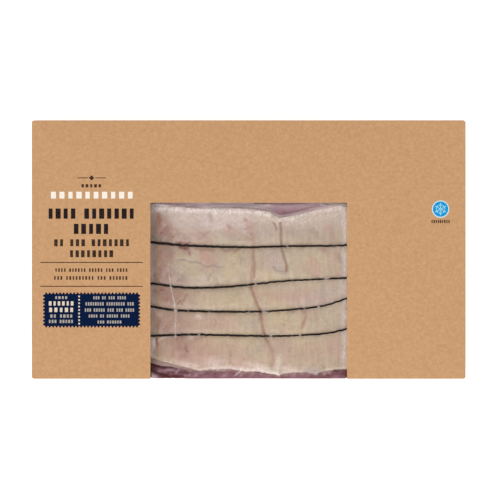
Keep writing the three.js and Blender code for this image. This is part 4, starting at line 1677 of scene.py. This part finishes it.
@dataclass
class Film:
    """The vacuum bag: a skin over joint and strings, and its flat sealed ends."""

    voxel: float = 1.15
    bridge: float = 1.3
    clearance: float = 0.3
    ridge_height: float = 0.3
    sill: float = 26.0
    window_half_width: float = 68.0
    wall_inside: float = -88.5
    lifted_gaps: Point = (0.15, 0.9)
    margin_rows: int = 60
    margin_columns: int = 30
    sheet: float = 0.3
    margin_gap: float = 0.6
    margin_level: float = 0.5
    margin_headroom: float = 1.4
    slope: float = 18.0
    slack: float = 0.25
    slack_start: float = 14.0
    seal_band: Point = (2.5, 8.5)
    milk: Point = (0.15, 0.35)

    def build(self, contents: list[bpy.types.Object]) -> None:
        """Shrinks the skin over its contents.

        Args:
            contents: The finished meat and strings.
        """
        copies = [copy_of(piece) for piece in contents]
        bpy.ops.object.select_all(action="DESELECT")
        for twin in copies:
            twin.select_set(True)
        skin = copies[0]
        bpy.context.view_layer.objects.active = skin
        bpy.ops.object.join()
        skin.data.materials.clear()
        for layer in [layer.name for layer in skin.data.attributes if layer.data_type == "FLOAT"]:
            skin.data.attributes.remove(skin.data.attributes[layer])
        shape_with(skin, "REMESH", mode="VOXEL", voxel_size=self.voxel * MM)
        inner = BVHTree.FromObject(skin, bpy.context.evaluated_depsgraph_get())
        self._swell(skin, self.bridge)
        shape_with(skin, "REMESH", mode="VOXEL", voxel_size=self.voxel * MM)
        shape_with(skin, "SMOOTH", factor=0.5, iterations=3)
        self._swell(skin, self.clearance - self.bridge)
        shape_with(skin, "SMOOTH", factor=0.5, iterations=4)
        refine(skin, WRINKLES, (Mark.RIDGE, Mark.CROSS), 2)
        self._keep_off(skin, inner)
        self._crimp(skin)
        smooth(skin)
        finish_piece(skin, "film_skin", VacuumFilm().material())

    def _swell(self, skin: bpy.types.Object, amount: float) -> None:
        """Moves the skin outwards by an amount in millimetres."""
        put_points(skin, points_of(skin) + amount * normals_of(skin))

    def _keep_off(self, skin: bpy.types.Object, inner: BVHTree) -> None:
        """Lifts the skin off its contents where it comes too near, and notes where it stands well off them.

        Args:
            skin: The skin.
            inner: The outer surface of what it holds.
        """
        points = points_of(skin)
        lift = np.zeros(len(points))
        for i, point in enumerate(points):
            place, normal, _, _ = inner.find_nearest(Vector(point) * MM)
            gap = (Vector(point) * MM - place).dot(normal) / MM
            if gap < self.clearance:
                points[i] += np.array(normal) * (self.clearance - gap)
            lift[i] = gap
        put_points(skin, points)
        # Where the film stands well off, its material paints a pale sheen
        low, high = self.lifted_gaps
        store(skin, Mark.VEIL.value, ramp(lift, self.clearance + low, self.clearance + high))

    def _crimp(self, skin: bpy.types.Object) -> None:
        """Raises the film's wrinkles, and keeps it behind the front wall below the window's sill.

        Args:
            skin: The skin.
        """
        points = points_of(skin)
        outward = normals_of(skin)
        top = ramp(outward[:, 2], -0.05, 0.15)
        ridge = marked(points[:, :2], WRINKLES, Mark.RIDGE) * top
        store(skin, Mark.RIDGE.value, ridge)
        store(skin, Mark.CROSS.value, marked(points[:, :2], WRINKLES, Mark.CROSS) * top)
        points += outward * (self.ridge_height * ridge)[:, None]
        behind_wall = (points[:, 2] < self.sill + 0.8) | (np.abs(points[:, 0]) > self.window_half_width + 0.1)
        points[behind_wall, 1] = np.maximum(points[behind_wall, 1], self.wall_inside)
        put_points(skin, points)

    def build_margins(self) -> None:
        """Models the bag's flat ends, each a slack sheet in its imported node's place."""
        for side, name in ((-1, "bag_margin_left"), (1, "bag_margin_right")):
            low, high = (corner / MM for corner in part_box(name))
            sheet = start_from(bpy.ops.mesh.primitive_grid_add, size=2,
                               x_subdivisions=self.margin_columns, y_subdivisions=self.margin_rows)
            grid = points_of(sheet) * MM
            reach = (grid[:, 0] * side + 1) / 2
            near, far = sorted((abs(low.x), abs(high.x)))
            across = near + self.margin_gap + (far - near - self.margin_gap) * reach
            along = low.y + (high.y - low.y) * (grid[:, 1] + 1) / 2
            drop = (1 - ramp(across, near, near + self.slope)) * (high.z - low.z - self.margin_headroom)
            slack = self.slack * (1 + waves(np.column_stack([across, along]), 12, 21 + side))
            height = low.z + self.margin_level + drop + slack * ramp(across, near, near + self.slack_start)
            put_points(sheet, np.column_stack([side * across, along, height]))
            shape_with(sheet, "SOLIDIFY", thickness=self.sheet * MM, offset=0.0)
            outer, inner = (ramp(across, far - place - 0.5, far - place + 0.5) for place in self.seal_band)
            milk = self.milk[0] + self.milk[1] * inner * (1 - outer)
            count = len(sheet.data.vertices)
            store(sheet, Mark.RIDGE.value, np.tile(milk, 2)[:count])
            store(sheet, Mark.VEIL.value, np.ones(count))
            smooth(sheet)
            finish_piece(sheet, f"film_{name}", VacuumFilm().material())
            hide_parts(name)


@dataclass
class Studio:
    """A pale sweep, soft light from the front left and a camera straight above the lid."""

    frame_width: float = 345.8
    middle: Point = (0.9, -0.3)
    lens: float = 500.0
    sensor: float = 36.0
    floor_size: float = 8.0
    floor_gap: float = 0.2
    room_light: float = 0.58
    floor_glow: float = 0.55
    lamps: tuple[tuple[str, tuple[float, float, float], float, float], ...] = (
        ("key_softbox", (-0.5, -0.75, 1.7), 1.1, 12.6),
        ("fill_softbox", (0.6, 0.35, 1.8), 1.4, 8.2),
        ("front_strip", (0.1, -1.5, 0.7), 0.5, 2.4),
    )

    def build(self) -> None:
        """Sets up the camera, the lights and the floor."""
        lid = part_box("card_carton")[1].z
        distance = self.frame_width * MM * self.lens / self.sensor
        view = bpy.data.cameras.new("lid_view")
        view.lens = self.lens
        view.sensor_width = self.sensor
        view.clip_end = 50.0
        camera = bpy.data.objects.new("lid_view", view)
        camera.location = (self.middle[0] * MM, self.middle[1] * MM, lid + distance)
        bpy.context.scene.collection.objects.link(camera)
        bpy.context.scene.camera = camera
        bpy.context.scene.view_settings.view_transform = "Standard"
        self._floor()
        for lamp in self.lamps:
            self._light(*lamp)
        world = bpy.data.worlds.new("studio")
        world.use_nodes = True
        feed(world.node_tree.nodes["Background"], {"Strength": self.room_light, "Color": linear("#ffffff")})
        bpy.context.scene.world = world

    def _floor(self) -> None:
        """Lays the pale floor, lit a little by itself so that it reads as white paper."""
        floor = start_from(bpy.ops.mesh.primitive_plane_add, size=self.floor_size,
                           location=(0, 0, -self.floor_gap * MM))
        floor.name = "paper_sweep"
        material, tree, shader = new_material("white_paper")
        place = add_node(tree, "TexCoord", {}, "Object")
        grain = add_node(tree, "TexNoise", {"Vector": place, "Scale": 900.0})
        relief = add_node(tree, "Bump", {"Height": grain, "Strength": 0.1, "Distance": 0.05 * MM})
        feed(shader, {
            "Base Color": linear("#efefef"), "Normal": relief, "Roughness": 0.9,
            "Emission Color": linear("#ffffff"), "Emission Strength": self.floor_glow,
        })
        floor.data.materials.append(material)

    def _light(self, name: str, place: tuple[float, float, float], size: float, power: float) -> None:
        """Hangs a square softbox that faces the joint.

        Args:
            name: The light's name.
            place: Where it hangs, in metres.
            size: Its side in metres.
            power: Its power in watts.
        """
        lamp = bpy.data.lights.new(name, "AREA")
        lamp.size = size
        lamp.energy = power
        light = bpy.data.objects.new(name, lamp)
        light.location = place
        light.rotation_euler = (-Vector(place)).to_track_quat("-Z", "Y").to_euler()
        bpy.context.scene.collection.objects.link(light)


def main() -> None:
    """Builds the pack round its frame, piece by piece."""
    logging.basicConfig(level=logging.INFO, format="%(message)s")
    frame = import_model()
    nodes = frame["nodes"]
    Studio().build()
    Carton().build()
    Print(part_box("card_carton")[1].z / MM).build()
    fat, lean = Joint().build(nodes)
    loops = Strings().build(nodes)
    film = Film()
    film.build([fat, lean, *loops])
    film.build_margins()


if __name__ == "__main__":
    main()
